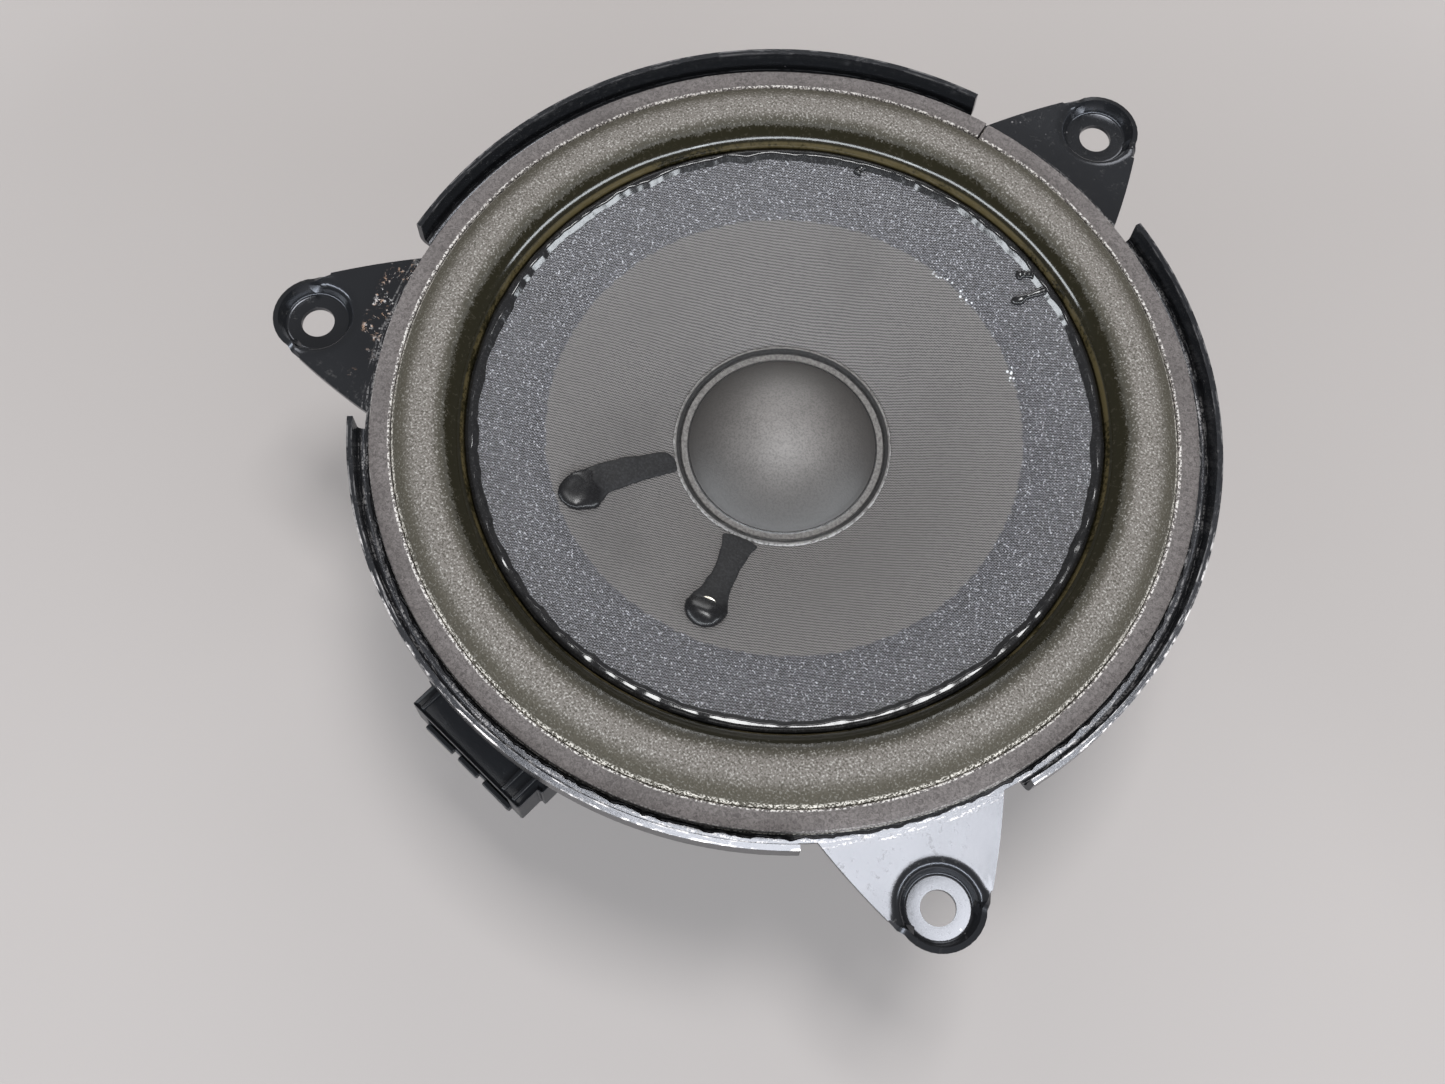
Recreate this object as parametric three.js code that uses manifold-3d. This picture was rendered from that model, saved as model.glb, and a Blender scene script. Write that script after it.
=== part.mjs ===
// A 6.5-inch-class vehicle door loudspeaker: a stamped three-eared basket, a foam
// surround, a shallow woven cone with a dust cap, a voice coil in a ferrite motor,
// and a side connector. Units are millimetres. The cone faces +Z, the magnet stands
// on z = 0, the first fixing ear points to +Y and the connector to -Y.
import * as THREE from 'three';
import { mergeVertices } from 'three/addons/utils/BufferGeometryUtils.js';
import Module from 'manifold-3d';

// ---- Driving sizes ---------------------------------------------------------

const GAP = 0.3; // glue line or seat clearance between two fixed pieces
const SHEET = 1.1; // basket sheet steel
const OVERLAP = 1; // how far two shapes of one piece run into each other
const CUT_PAST = 1; // how far a cutter runs past what it cuts

// Magnet and motor
const YOKE_RADIUS = 41;
const YOKE_PLATE = 5;
const YOKE_CHAMFER = 1.2;
const MAGNET_RADIUS = 45;
const MAGNET_BORE = 21;
const MAGNET_THICK = 15;
const TOP_PLATE_RADIUS = 41;
const TOP_PLATE_THICK = 5;
const POLE_RADIUS = 12.3;
const POLE_CHAMFER = 0.6;
const COIL_CLEARANCE = 0.35; // former to pole, and winding to top plate
const FORMER_WALL = 0.3;
const WINDING_WALL = 0.6;
const WINDING_BOND = 0.06; // bond line between the former and its winding
const WINDING_LENGTH = 10;
const FORMER_TAIL = 0.8; // former below the winding

// Basket
const RIM_RADIUS = 83; // outside of the upturned rim
const RIM_RISE = 5.8; // rim above the flange
const RIM_GAP_HALF = 15; // degrees left out of the rim on each side of an ear
const GROOVE = 2.6; // between the rim and the gasket
const BASKET_DEPTH = 34.7; // seat underside to flange top
const SEAT_BORE = 17;
const SEAT_DRAFT = 1.5; // how far the drawn wall on the seat leans out
const LEDGE_HEIGHT = 11.1; // spider ledge above the seat underside
const LEDGE_WIDTH = 7.5;
const LEG_LAND = 6.2; // flange inner edge past the roll's inner foot
const LEG_RUN = 20.6; // radial run of the legs
const LEG_STEP = 4.2; // straight drop from the flange to the legs
const WINDOW_COUNT = 6;
const WINDOW_HALF = 20; // degrees
const WINDOW_MARGIN = 2; // metal left above and below a window

// Fixing ears
const EAR_COUNT = 3;
const EAR_REACH = 12; // ear hole centres outside the rim
const EAR_HOLE = 3.25;
const EAR_BASE_HALF = 17.5;
const EAR_WAIST_HALF = 14.2;
const EAR_TIP_HALF = 9.2;
const CUP_FLOOR_RADIUS = 6.2;
const CUP_RIM_RADIUS = 8.5;
const CUP_DEPTH = 3;
const CUP_RIM_RISE = 0.2;
const CUP_LIP = 0.88; // thickness of the cup's rim

// Gasket and surround
const GASKET_WIDTH = 4;
const GASKET_THICK = 1.9;
const GASKET_SEAM_ANGLE = 101.8; // degrees
const GASKET_SEAM = 0.5;
const FOAM = 0.9;
const ROLL_WIDTH = 13.6;
const ROLL_HEIGHT = 5.3; // crown above the roll's feet
const ROLL_FOOT_RISE = 0.2; // the feet above the clamped foam edge
const ROLL_STEPS = 6;
const FOAM_LAP = 4.7; // foam glued under the cone's edge

// Cone and dust cap
const CONE_EDGE_BACK = 1.1; // cone edge inside the roll's inner foot
const CONE_DROP = 1.5; // cone edge below the gasket's front
const CONE_RIM_SLOPE = 0.1035;
const CONE_CURVE = 0.004345; // extra drop for each square millimetre inwards
const CONE_THICK = 0.8;
const CONE_STEPS = 4;
const BEAD_INNER = 1.3; // edge glue inside the cone's edge
const BEAD_OUTER = 0.6; // and outside it
const BEAD_HEIGHT = 0.6;
const CAP_RADIUS = 18.5;
const CAP_RISE = 7;
const CAP_THICK = 0.5;
const CAP_FOOT_RISE = 1.2; // the cap's foot above the cone
const CAP_GLUE_WIDTH = 2.7;
const CAP_GLUE_RISE = 0.45; // the glue ring above the cap's foot
const CAP_GLUE_SLANT = 0.4; // how far the ring's outside leans either way
const CAP_STEPS = 4;

// Spider
const SPIDER_THICK = 0.6;
const SPIDER_FLAT = 2.6;
const SPIDER_WAVE = 1.1;
const SPIDER_FOLDS = 6;

// Leads
const EYELET_SPOTS = [
  { inset: 18.5, angle: 242.6 }, // inside the cone's edge, and degrees
  { inset: 20.7, angle: 291.6 },
];
const EYELET_RADIUS = 1.5;
const EYELET_BORE = 0.9;
const EYELET_HEAD = 2.3;
const EYELET_LIP = 0.25;
const EYELET_TAIL = 1.2; // eyelet below the cone
const LEAD_RADIUS = 0.8;
const LEAD_SAG = 3;
const LEAD_CLEARANCE = 3; // top of a lead below the cone
const LEAD_APPROACH = 6; // how far short of its blade a lead comes level with it
const LEAD_STEPS = 10;
const STRIP_FOOT = 2.73; // half width of a glue strip beside the dust cap
const STRIP_NECK = 1.68; // and at its narrowest
const STRIP_END = 4; // its round end's radius
const STRIP_SHOULDER = 3.4; // half width where the strip meets its round end
const STRIP_WRAP = 2.1; // radians of the round end either side of its tip
const STRIP_THICK = 1.9;

// Connector
const HOUSING_WIDTH = 31;
const HOUSING_OVERHANG = 4; // outer face past the rim
const HOUSING_DEPTH = 17;
const HOUSING_HEIGHT = 9.7;
const SOCKET_WALL = 2.2;
const SOCKET_DEPTH = 14;
const MOUTH_STEP = 5; // length of the notch down each side of the socket's mouth
const FOOT_WIDTH = 6.5;
const NECK_LENGTH = 8;
const FOOT_HEIGHT = 2.5;
const BLADE_WIDTH = 2.8;
const BLADE_THICK = 0.8;
const BLADE_PITCH = 10;
const BLADE_REACH = 7; // blade inside the socket
const BLADE_TAG = 1.6; // blade past the neck, where a lead is soldered
const TONGUE_OVERHANG = 3; // tongue under the socket block
const TONGUE_LAP = 1.5; // tongue past the ledge's inner edge

// Rivets
const RIVET_RADIUS = 1.4;
const RIVET_HEAD = 2.5;
const RIVET_HEAD_THICK = 1;
const RIVET_CROWN = 1.75; // radius of a head's flat top
const RIVET_UPSET = 2; // radius of the closed end under the tongue
const PLATE_RIVETS = 4;
const PLATE_RIVET_DEPTH = 3.4;

const LARGE_SEGMENTS = 48;
const SMALL_SEGMENTS = 32;
const EAR_SEGMENTS = 18;
const RIVET_SEGMENTS = 12;
const WELD = 1e-4; // corners closer than this are one corner

// ---- Places worked out from the sizes --------------------------------------

const magnetBottom = YOKE_PLATE + GAP;
const plateBottom = magnetBottom + MAGNET_THICK + GAP;
const plateTop = plateBottom + TOP_PLATE_THICK;
const seatBottom = plateTop + GAP;
const seatTop = seatBottom + SHEET;
const flangeTop = seatBottom + BASKET_DEPTH;
const ledgeTop = seatBottom + LEDGE_HEIGHT;

const foamTop = flangeTop + GAP + FOAM;
const gasketBottom = foamTop + GAP;
const gasketTop = gasketBottom + GASKET_THICK;
const gasketOuter = RIM_RADIUS - SHEET - GROOVE;
const gasketInner = gasketOuter - GASKET_WIDTH;
const rollOuter = gasketInner - GAP;
const rollInner = rollOuter - ROLL_WIDTH;
const rollMiddle = (rollOuter + rollInner) / 2;
const rollFoot = foamTop + ROLL_FOOT_RISE;
const flangeInner = rollInner + LEG_LAND;
const flangeOuter = gasketOuter + GROOVE / 2;
const ledgeOuter = flangeInner - LEG_RUN;
const ledgeInner = ledgeOuter - LEDGE_WIDTH;
const seatWall = ledgeInner - SEAT_DRAFT;
const rivetCircle = (SEAT_BORE + seatWall) / 2;
const earCircle = RIM_RADIUS + EAR_REACH;

const coneEdge = rollInner - CONE_EDGE_BACK;
const coneEdgeTop = gasketTop - CONE_DROP;
const capFoot = coneTop(CAP_RADIUS) + CAP_FOOT_RISE;
const formerInner = POLE_RADIUS + COIL_CLEARANCE;
const formerOuter = formerInner + FORMER_WALL;
const windingInner = formerOuter + WINDING_BOND;
const windingOuter = windingInner + WINDING_WALL;
const plateBore = windingOuter + COIL_CLEARANCE;
const coneNeck = formerOuter + GAP;
const eyelets = EYELET_SPOTS.map(({ inset, angle }) => ({ radius: coneEdge - inset, angle }));
const windingMiddle = (plateBottom + plateTop) / 2;
const windingBottom = windingMiddle - WINDING_LENGTH / 2;
const formerBottom = windingBottom - FORMER_TAIL;
const formerTop = coneTop(coneNeck) - CONE_THICK / 2;

const housingBottom = ledgeTop + GAP;
const housingFront = RIM_RADIUS + HOUSING_OVERHANG;
const socketBack = housingFront - SOCKET_DEPTH;
const blockBack = housingFront - HOUSING_DEPTH;
const neckHalf = HOUSING_WIDTH / 2 - FOOT_WIDTH;
const neckBack = blockBack - NECK_LENGTH;
const bladeMiddle = housingBottom + HOUSING_HEIGHT / 2;
const footRivetX = neckHalf + FOOT_WIDTH / 2;
const footRivetY = -(blockBack - NECK_LENGTH / 2);

// ---- Finishes --------------------------------------------------------------

function finish(color, roughness, metalness) {
  return new THREE.MeshStandardMaterial({ color, roughness, metalness });
}

const blackPaint = finish(0x111214, 0.25, 0.3);
const zinc = finish(0x9a9c9e, 0.35, 1);
const ferrite = finish(0x2b2b2d, 0.6, 0.1);
const fibre = finish(0x4d4640, 0.9, 0);
const foam = finish(0x4a463a, 0.95, 0);
const weave = finish(0x3a3836, 0.7, 0);
const capFinish = finish(0x34332f, 0.4, 0.1);
const blackGlue = finish(0x0c0c0c, 0.15, 0);
const cotton = finish(0xb08a4a, 0.9, 0);
const formerFilm = finish(0x5a3b1c, 0.4, 0);
const copper = finish(0xb5663a, 0.35, 1);
const blackPlastic = finish(0x15171a, 0.4, 0);
const tinnedBrass = finish(0xc9c2a8, 0.3, 1);
const braid = finish(0x8c7a62, 0.6, 0.5);

// ---- Shape helpers ---------------------------------------------------------

const wasm = await Module();
wasm.setup();

/** A geometry with shared corners merged and its faces pointing out. */
function closed(geometry) {
  const bare = geometry.index ? geometry.toNonIndexed() : geometry.clone();
  bare.deleteAttribute('normal');
  bare.deleteAttribute('uv');
  const merged = mergeVertices(bare, WELD);
  const position = merged.attributes.position;
  const corners = merged.index.array;
  const kept = [];
  let volume = 0;
  const a = new THREE.Vector3();
  const b = new THREE.Vector3();
  const c = new THREE.Vector3();
  for (let i = 0; i < corners.length; i += 3) {
    const [p, q, r] = [corners[i], corners[i + 1], corners[i + 2]];
    if (p === q || q === r || r === p) continue;
    kept.push(p, q, r);
    a.fromBufferAttribute(position, p);
    b.fromBufferAttribute(position, q);
    c.fromBufferAttribute(position, r);
    volume += a.dot(b.cross(c));
  }
  if (volume < 0) kept.reverse();
  merged.setIndex(kept);
  return merged;
}

function solid(geometry) {
  const shape = closed(geometry);
  const mesh = new wasm.Mesh({
    numProp: 3,
    vertProperties: new Float32Array(shape.attributes.position.array),
    triVerts: new Uint32Array(shape.index.array),
  });
  return new wasm.Manifold(mesh);
}

function geometryOf(body) {
  const mesh = body.getMesh();
  const geometry = new THREE.BufferGeometry();
  const points = new THREE.BufferAttribute(new Float32Array(mesh.vertProperties), 3);
  geometry.setAttribute('position', points);
  geometry.setIndex(Array.from(mesh.triVerts));
  return geometry;
}

/** A closed outline of [radius, height] pairs turned about Z. */
function turned(outline, segments) {
  const points = outline.map(([radius, height]) => new THREE.Vector2(radius, height));
  const onAxis = outline[0][0] === 0 && outline.at(-1)[0] === 0;
  if (!onAxis) points.push(points[0].clone());
  return new THREE.LatheGeometry(points, segments).rotateX(Math.PI / 2);
}

function cylinder(radius, low, high, x, y, segments) {
  const shape = new THREE.CylinderGeometry(radius, radius, high - low, segments);
  shape.rotateX(Math.PI / 2);
  return shape.translate(x, y, (low + high) / 2);
}

function block([x0, x1], [y0, y1], [z0, z1]) {
  const shape = new THREE.BoxGeometry(x1 - x0, y1 - y0, z1 - z0);
  return shape.translate((x0 + x1) / 2, (y0 + y1) / 2, (z0 + z1) / 2);
}

function upright(shape, low, high, curveSegments = 8) {
  const options = { depth: high - low, bevelEnabled: false, curveSegments };
  return new THREE.ExtrudeGeometry(shape, options).translate(0, 0, low);
}

/** A slab between two radii and two angles in degrees. */
function sector([inner, outer], [start, end], [low, high]) {
  const [from, to] = [THREE.MathUtils.degToRad(start), THREE.MathUtils.degToRad(end)];
  const shape = new THREE.Shape();
  shape.absarc(0, 0, outer, from, to, false);
  shape.absarc(0, 0, inner, to, from, true);
  return upright(shape, low, high, 6);
}

function onCircle(radius, degrees) {
  const angle = THREE.MathUtils.degToRad(degrees);
  return [radius * Math.cos(angle), radius * Math.sin(angle)];
}

function earAngle(index) {
  return 90 + (360 / EAR_COUNT) * index;
}

/** The front of the cone at a radius. */
function coneTop(radius) {
  const inwards = coneEdge - radius;
  return coneEdgeTop - CONE_RIM_SLOPE * inwards - CONE_CURVE * inwards * inwards;
}

/** Outline steps that follow the cone from one radius to another, at an offset. */
function alongCone(from, to, offset, steps) {
  return Array.from({ length: steps + 1 }, (_, i) => {
    const radius = from + ((to - from) * i) / steps;
    return [radius, coneTop(radius) + offset];
  });
}

// ---- Basket ----------------------------------------------------------------

function basketShell() {
  const legTop = flangeTop - LEG_STEP;
  const front = [
    [SEAT_BORE, seatTop],
    [seatWall - SHEET, seatTop],
    [ledgeInner - SHEET, ledgeTop],
    [ledgeOuter, ledgeTop],
    [flangeInner - SHEET, legTop],
    [flangeInner, flangeTop],
    [flangeOuter, flangeTop],
  ];
  const back = [
    [flangeOuter, flangeTop - SHEET],
    [flangeInner + SHEET, flangeTop - SHEET],
    [flangeInner, legTop],
    [ledgeOuter + SHEET, ledgeTop - SHEET],
    [ledgeInner, ledgeTop - SHEET],
    [seatWall, seatBottom],
    [SEAT_BORE, seatBottom],
  ];
  return turned([...front, ...back], LARGE_SEGMENTS);
}

function basketRim() {
  const outline = [
    [flangeOuter - OVERLAP, flangeTop - SHEET],
    [RIM_RADIUS - SHEET, flangeTop - SHEET],
    [RIM_RADIUS, flangeTop],
    [RIM_RADIUS, flangeTop + RIM_RISE],
    [RIM_RADIUS - SHEET, flangeTop + RIM_RISE],
    [RIM_RADIUS - SHEET, flangeTop],
    [flangeOuter - OVERLAP, flangeTop],
  ];
  return turned(outline, LARGE_SEGMENTS);
}

function earPlate() {
  const base = flangeOuter - 2 * OVERLAP;
  const waist = (flangeOuter + earCircle) / 2;
  const shape = new THREE.Shape();
  shape.moveTo(base, -EAR_BASE_HALF);
  shape.quadraticCurveTo(waist, -EAR_WAIST_HALF, earCircle, -EAR_TIP_HALF);
  shape.lineTo(earCircle, EAR_TIP_HALF);
  shape.quadraticCurveTo(waist, EAR_WAIST_HALF, base, EAR_BASE_HALF);
  return upright(shape, flangeTop - SHEET, flangeTop, 5);
}

function earCup() {
  const floor = flangeTop - CUP_DEPTH;
  const rim = flangeTop + CUP_RIM_RISE;
  const outline = [
    [EAR_HOLE, floor],
    [CUP_FLOOR_RADIUS, floor],
    [CUP_RIM_RADIUS - CUP_LIP, rim],
    [CUP_RIM_RADIUS, rim],
    [CUP_FLOOR_RADIUS + SHEET, floor - SHEET],
    [EAR_HOLE, floor - SHEET],
  ];
  return turned(outline, EAR_SEGMENTS).translate(earCircle, 0, 0);
}

function basket() {
  let rim = solid(basketRim());
  for (let i = 0; i < EAR_COUNT; i += 1) {
    const span = [earAngle(i) - RIM_GAP_HALF, earAngle(i) + RIM_GAP_HALF];
    const height = [flangeTop - SHEET - CUT_PAST, flangeTop + RIM_RISE + CUT_PAST];
    rim = rim.subtract(solid(sector([flangeOuter, RIM_RADIUS + CUT_PAST], span, height)));
  }
  let body = solid(basketShell()).add(rim);
  for (let i = 0; i < WINDOW_COUNT; i += 1) {
    const middle = 270 + (360 / WINDOW_COUNT) * i;
    const radii = [ledgeOuter + WINDOW_MARGIN, flangeInner - SHEET - WINDOW_MARGIN];
    const span = [middle - WINDOW_HALF, middle + WINDOW_HALF];
    const height = [ledgeTop - 2 * SHEET, flangeTop - SHEET * 1.5];
    body = body.subtract(solid(sector(radii, span, height)));
  }
  for (let i = 0; i < EAR_COUNT; i += 1) {
    const turn = THREE.MathUtils.degToRad(earAngle(i));
    const bore = CUP_RIM_RADIUS - CUP_LIP;
    const depth = [flangeTop - SHEET - CUT_PAST, flangeTop + CUT_PAST];
    const opening = cylinder(bore, ...depth, earCircle, 0, EAR_SEGMENTS);
    body = body.add(solid(earPlate().rotateZ(turn)));
    body = body.subtract(solid(opening.rotateZ(turn)));
    body = body.add(solid(earCup().rotateZ(turn)));
  }
  const tongueWidth = [-HOUSING_WIDTH / 2, HOUSING_WIDTH / 2];
  const tongueReach = [-(blockBack + TONGUE_OVERHANG), -(ledgeInner + TONGUE_LAP)];
  body = body.add(solid(block(tongueWidth, tongueReach, [ledgeTop - SHEET, ledgeTop])));
  for (const [x, y] of plateRivetPlaces()) {
    const hole = rivetHole(x, y, seatBottom - CUT_PAST, seatTop + CUT_PAST);
    body = body.subtract(solid(hole));
  }
  for (const side of [-1, 1]) {
    const depth = [ledgeTop - SHEET - CUT_PAST, ledgeTop + CUT_PAST];
    body = body.subtract(solid(rivetHole(side * footRivetX, footRivetY, ...depth)));
  }
  return geometryOf(body);
}

// ---- Gasket and surround ---------------------------------------------------

function gasket() {
  const ring = solid(turned([
    [gasketInner, gasketBottom],
    [gasketOuter, gasketBottom],
    [gasketOuter, gasketTop],
    [gasketInner, gasketTop],
  ], LARGE_SEGMENTS));
  const seam = block(
    [gasketInner - CUT_PAST, gasketOuter + CUT_PAST],
    [-GASKET_SEAM / 2, GASKET_SEAM / 2],
    [gasketBottom - CUT_PAST, gasketTop + CUT_PAST],
  ).rotateZ(THREE.MathUtils.degToRad(GASKET_SEAM_ANGLE));
  return geometryOf(ring.subtract(solid(seam)));
}

/** Half an ellipse from the outer foot of the roll to its inner foot. */
function rollArc(offset) {
  const half = ROLL_WIDTH / 2 - offset;
  return Array.from({ length: ROLL_STEPS + 1 }, (_, i) => {
    const angle = (Math.PI * i) / ROLL_STEPS;
    const rise = (ROLL_HEIGHT - offset) * Math.sin(angle);
    return [rollMiddle + half * Math.cos(angle), rollFoot + rise];
  });
}

function surround() {
  const lap = coneEdge + CONE_EDGE_BACK / 2 - FOAM_LAP;
  const under = -CONE_THICK - GAP;
  const front = [
    [gasketOuter, foamTop],
    ...rollArc(0),
    ...alongCone(coneEdge + CONE_EDGE_BACK / 2, lap, under, 1),
  ];
  const back = [
    ...alongCone(lap, coneEdge + CONE_EDGE_BACK / 2, under - FOAM, 1),
    ...rollArc(FOAM).map(([r, z]) => [r, z - FOAM / 2]).reverse(),
    [rollOuter, foamTop - FOAM],
    [gasketOuter, foamTop - FOAM],
  ];
  return turned([...front, ...back], LARGE_SEGMENTS);
}

// ---- Cone, dust cap and glue -----------------------------------------------

function cone() {
  const front = alongCone(coneNeck, coneEdge, 0, CONE_STEPS);
  const back = alongCone(coneEdge, coneNeck, -CONE_THICK, CONE_STEPS);
  let body = solid(turned([...front, ...back], LARGE_SEGMENTS));
  for (const { radius, angle } of eyelets) {
    const [x, y] = onCircle(radius, angle);
    const depth = [coneTop(radius) - CONE_THICK - CUT_PAST, coneTop(radius) + CUT_PAST];
    const hole = cylinder(EYELET_RADIUS + GAP, ...depth, x, y, RIVET_SEGMENTS);
    body = body.subtract(solid(hole));
  }
  return geometryOf(body);
}

function edgeGlue() {
  const foot = coneEdgeTop + GAP;
  const inner = coneEdge - BEAD_INNER;
  return turned([
    [inner, coneTop(inner) + GAP],
    [coneEdge + BEAD_OUTER, foot],
    [coneEdge + BEAD_OUTER / 3, foot + BEAD_HEIGHT],
    [coneEdge - BEAD_INNER / 2, foot + (BEAD_HEIGHT * 2) / 3],
  ], LARGE_SEGMENTS);
}

function capDome(radius, rise) {
  const sphere = (radius * radius + rise * rise) / (2 * rise);
  return Array.from({ length: CAP_STEPS + 1 }, (_, i) => {
    const r = (radius * i) / CAP_STEPS;
    return [r, Math.sqrt(sphere * sphere - r * r) - (sphere - rise)];
  });
}

function dustCap() {
  const skirt = CAP_THICK / 2;
  const outside = capDome(CAP_RADIUS, CAP_RISE).map(([r, h]) => [r, capFoot + h]);
  const inside = capDome(CAP_RADIUS - CAP_THICK, CAP_RISE - CAP_THICK)
    .map(([r, h]) => [r, capFoot + h - skirt]);
  const rim = [[CAP_RADIUS, capFoot - skirt]];
  return turned([...outside, ...rim, ...inside.reverse()], SMALL_SEGMENTS);
}

function capGlue() {
  const inner = CAP_RADIUS - OVERLAP;
  const outer = CAP_RADIUS + CAP_GLUE_WIDTH;
  const foot = outer + CAP_GLUE_SLANT;
  const underCap = capFoot - CAP_THICK / 2 - GAP;
  const shelf = capFoot + CAP_GLUE_RISE;
  return turned([
    [inner, coneTop(inner) + GAP],
    [foot, coneTop(foot) + GAP],
    [outer - CAP_GLUE_SLANT, shelf],
    [CAP_RADIUS + GAP, shelf],
    [CAP_RADIUS + GAP, underCap],
    [inner, underCap],
  ], SMALL_SEGMENTS);
}

/** A glue strip on the cone, from the cap's glue ring to an eyelet. */
function leadGlue({ radius, angle }) {
  const start = CAP_RADIUS + CAP_GLUE_WIDTH + CAP_GLUE_SLANT + 2 * GAP;
  const waist = (start + radius) / 2;
  const outline = new THREE.Shape();
  outline.moveTo(start, -STRIP_FOOT);
  outline.quadraticCurveTo(waist, -STRIP_NECK, radius - STRIP_END / 2, -STRIP_SHOULDER);
  outline.absarc(radius, 0, STRIP_END, -STRIP_WRAP, STRIP_WRAP, false);
  outline.quadraticCurveTo(waist, STRIP_NECK, start, STRIP_FOOT);
  const turn = THREE.MathUtils.degToRad(angle);
  const top = coneEdgeTop + STRIP_THICK + CUT_PAST;
  const column = upright(outline, coneTop(start) - CUT_PAST, top, 4).rotateZ(turn);
  const reach = [start - CUT_PAST, radius + STRIP_END + CUT_PAST];
  const skin = turned([
    ...alongCone(reach[0], reach[1], GAP, 3),
    ...alongCone(reach[1], reach[0], GAP + STRIP_THICK, 3),
  ], LARGE_SEGMENTS);
  const [x, y] = onCircle(radius, angle);
  const eye = eyeletSeat(radius) + EYELET_LIP + GAP;
  const depth = [coneTop(radius) - CONE_THICK - CUT_PAST, eye];
  const pocket = cylinder(EYELET_HEAD + GAP, ...depth, x, y, RIVET_SEGMENTS);
  return geometryOf(solid(column).intersect(solid(skin)).subtract(solid(pocket)));
}

// ---- Eyelets and leads -----------------------------------------------------

/** Where the flat underside of an eyelet's head clears the sloping cone. */
function eyeletSeat(radius) {
  const slant = CONE_RIM_SLOPE + 2 * CONE_CURVE * (coneEdge - radius);
  return coneTop(radius) + slant * EYELET_HEAD + GAP / 2;
}

/** A hollow eyelet whose head lies on the cone's front. */
function eyelet({ radius, angle }) {
  const head = eyeletSeat(radius);
  const tail = coneTop(radius) - CONE_THICK - EYELET_TAIL;
  const [x, y] = onCircle(radius, angle);
  return turned([
    [EYELET_BORE, tail],
    [EYELET_RADIUS, tail],
    [EYELET_RADIUS, head],
    [EYELET_HEAD, head],
    [EYELET_HEAD, head + EYELET_LIP],
    [EYELET_BORE, head + EYELET_LIP],
  ], RIVET_SEGMENTS).translate(x, y, 0);
}

/** A flexible lead from under an eyelet, through a window, to a blade's tag. */
function lead({ radius, angle }, side) {
  const [x, y] = onCircle(radius, angle);
  const top = coneTop(radius) - CONE_THICK - LEAD_CLEARANCE;
  const tag = new THREE.Vector3(side * BLADE_PITCH / 2, -(neckBack - BLADE_TAG - GAP), bladeMiddle);
  const start = new THREE.Vector3(x, y, top);
  const sag = new THREE.Vector3(0, 0, -LEAD_SAG);
  const path = new THREE.CatmullRomCurve3([
    start,
    new THREE.Vector3(x, y - LEAD_SAG / 2, top).add(sag),
    new THREE.Vector3().lerpVectors(start, tag, 0.45).add(sag),
    new THREE.Vector3(tag.x + (x - tag.x) * 0.2, tag.y + LEAD_APPROACH, tag.z),
    tag,
  ]);
  const round = new THREE.Shape().absarc(0, 0, LEAD_RADIUS, 0, 2 * Math.PI, false);
  const options = { steps: LEAD_STEPS, extrudePath: path, curveSegments: 4 };
  return new THREE.ExtrudeGeometry(round, options);
}

// ---- Spider and voice coil -------------------------------------------------

function spider() {
  const inner = formerOuter + GAP;
  const outer = ledgeOuter - 1;
  const flat = ledgeTop + GAP + SPIDER_THICK;
  const waves = Array.from({ length: SPIDER_FOLDS + 1 }, (_, i) => {
    const reach = outer - inner - 3 * SPIDER_FLAT;
    const swing = i % 2 ? SPIDER_WAVE : -SPIDER_WAVE;
    const end = i === 0 || i === SPIDER_FOLDS;
    return [inner + SPIDER_FLAT + (reach * i) / SPIDER_FOLDS, flat + (end ? 0 : swing)];
  });
  const front = [[inner, flat], ...waves, [outer, flat]];
  const back = front.map(([r, z]) => [r, z - SPIDER_THICK]).reverse();
  return turned([...front, ...back], SMALL_SEGMENTS);
}

function tube(inner, outer, low, high, segments) {
  return turned([[inner, low], [outer, low], [outer, high], [inner, high]], segments);
}

// ---- Magnet system ---------------------------------------------------------

function yoke() {
  return turned([
    [0, 0],
    [YOKE_RADIUS - YOKE_CHAMFER, 0],
    [YOKE_RADIUS, YOKE_CHAMFER],
    [YOKE_RADIUS, YOKE_PLATE],
    [POLE_RADIUS, YOKE_PLATE],
    [POLE_RADIUS, plateTop - POLE_CHAMFER],
    [POLE_RADIUS - POLE_CHAMFER, plateTop],
    [0, plateTop],
  ], SMALL_SEGMENTS);
}

function topPlate() {
  let body = solid(tube(plateBore, TOP_PLATE_RADIUS, plateBottom, plateTop, SMALL_SEGMENTS));
  for (const [x, y] of plateRivetPlaces()) {
    const hole = rivetHole(x, y, plateTop - PLATE_RIVET_DEPTH - GAP, plateTop + CUT_PAST);
    body = body.subtract(solid(hole));
  }
  return geometryOf(body);
}

function plateRivetPlaces() {
  return Array.from({ length: PLATE_RIVETS }, (_, i) =>
    onCircle(rivetCircle, 45 + (360 / PLATE_RIVETS) * i));
}

function rivetHole(x, y, low, high) {
  return cylinder(RIVET_RADIUS + GAP, low, high, x, y, RIVET_SEGMENTS);
}

function plateRivet([x, y]) {
  const seat = seatTop + GAP;
  return turned([
    [0, plateTop - PLATE_RIVET_DEPTH],
    [RIVET_RADIUS, plateTop - PLATE_RIVET_DEPTH],
    [RIVET_RADIUS, seat],
    [RIVET_HEAD, seat],
    [RIVET_CROWN, seat + RIVET_HEAD_THICK],
    [0, seat + RIVET_HEAD_THICK],
  ], RIVET_SEGMENTS).translate(x, y, 0);
}

// ---- Connector -------------------------------------------------------------

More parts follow.
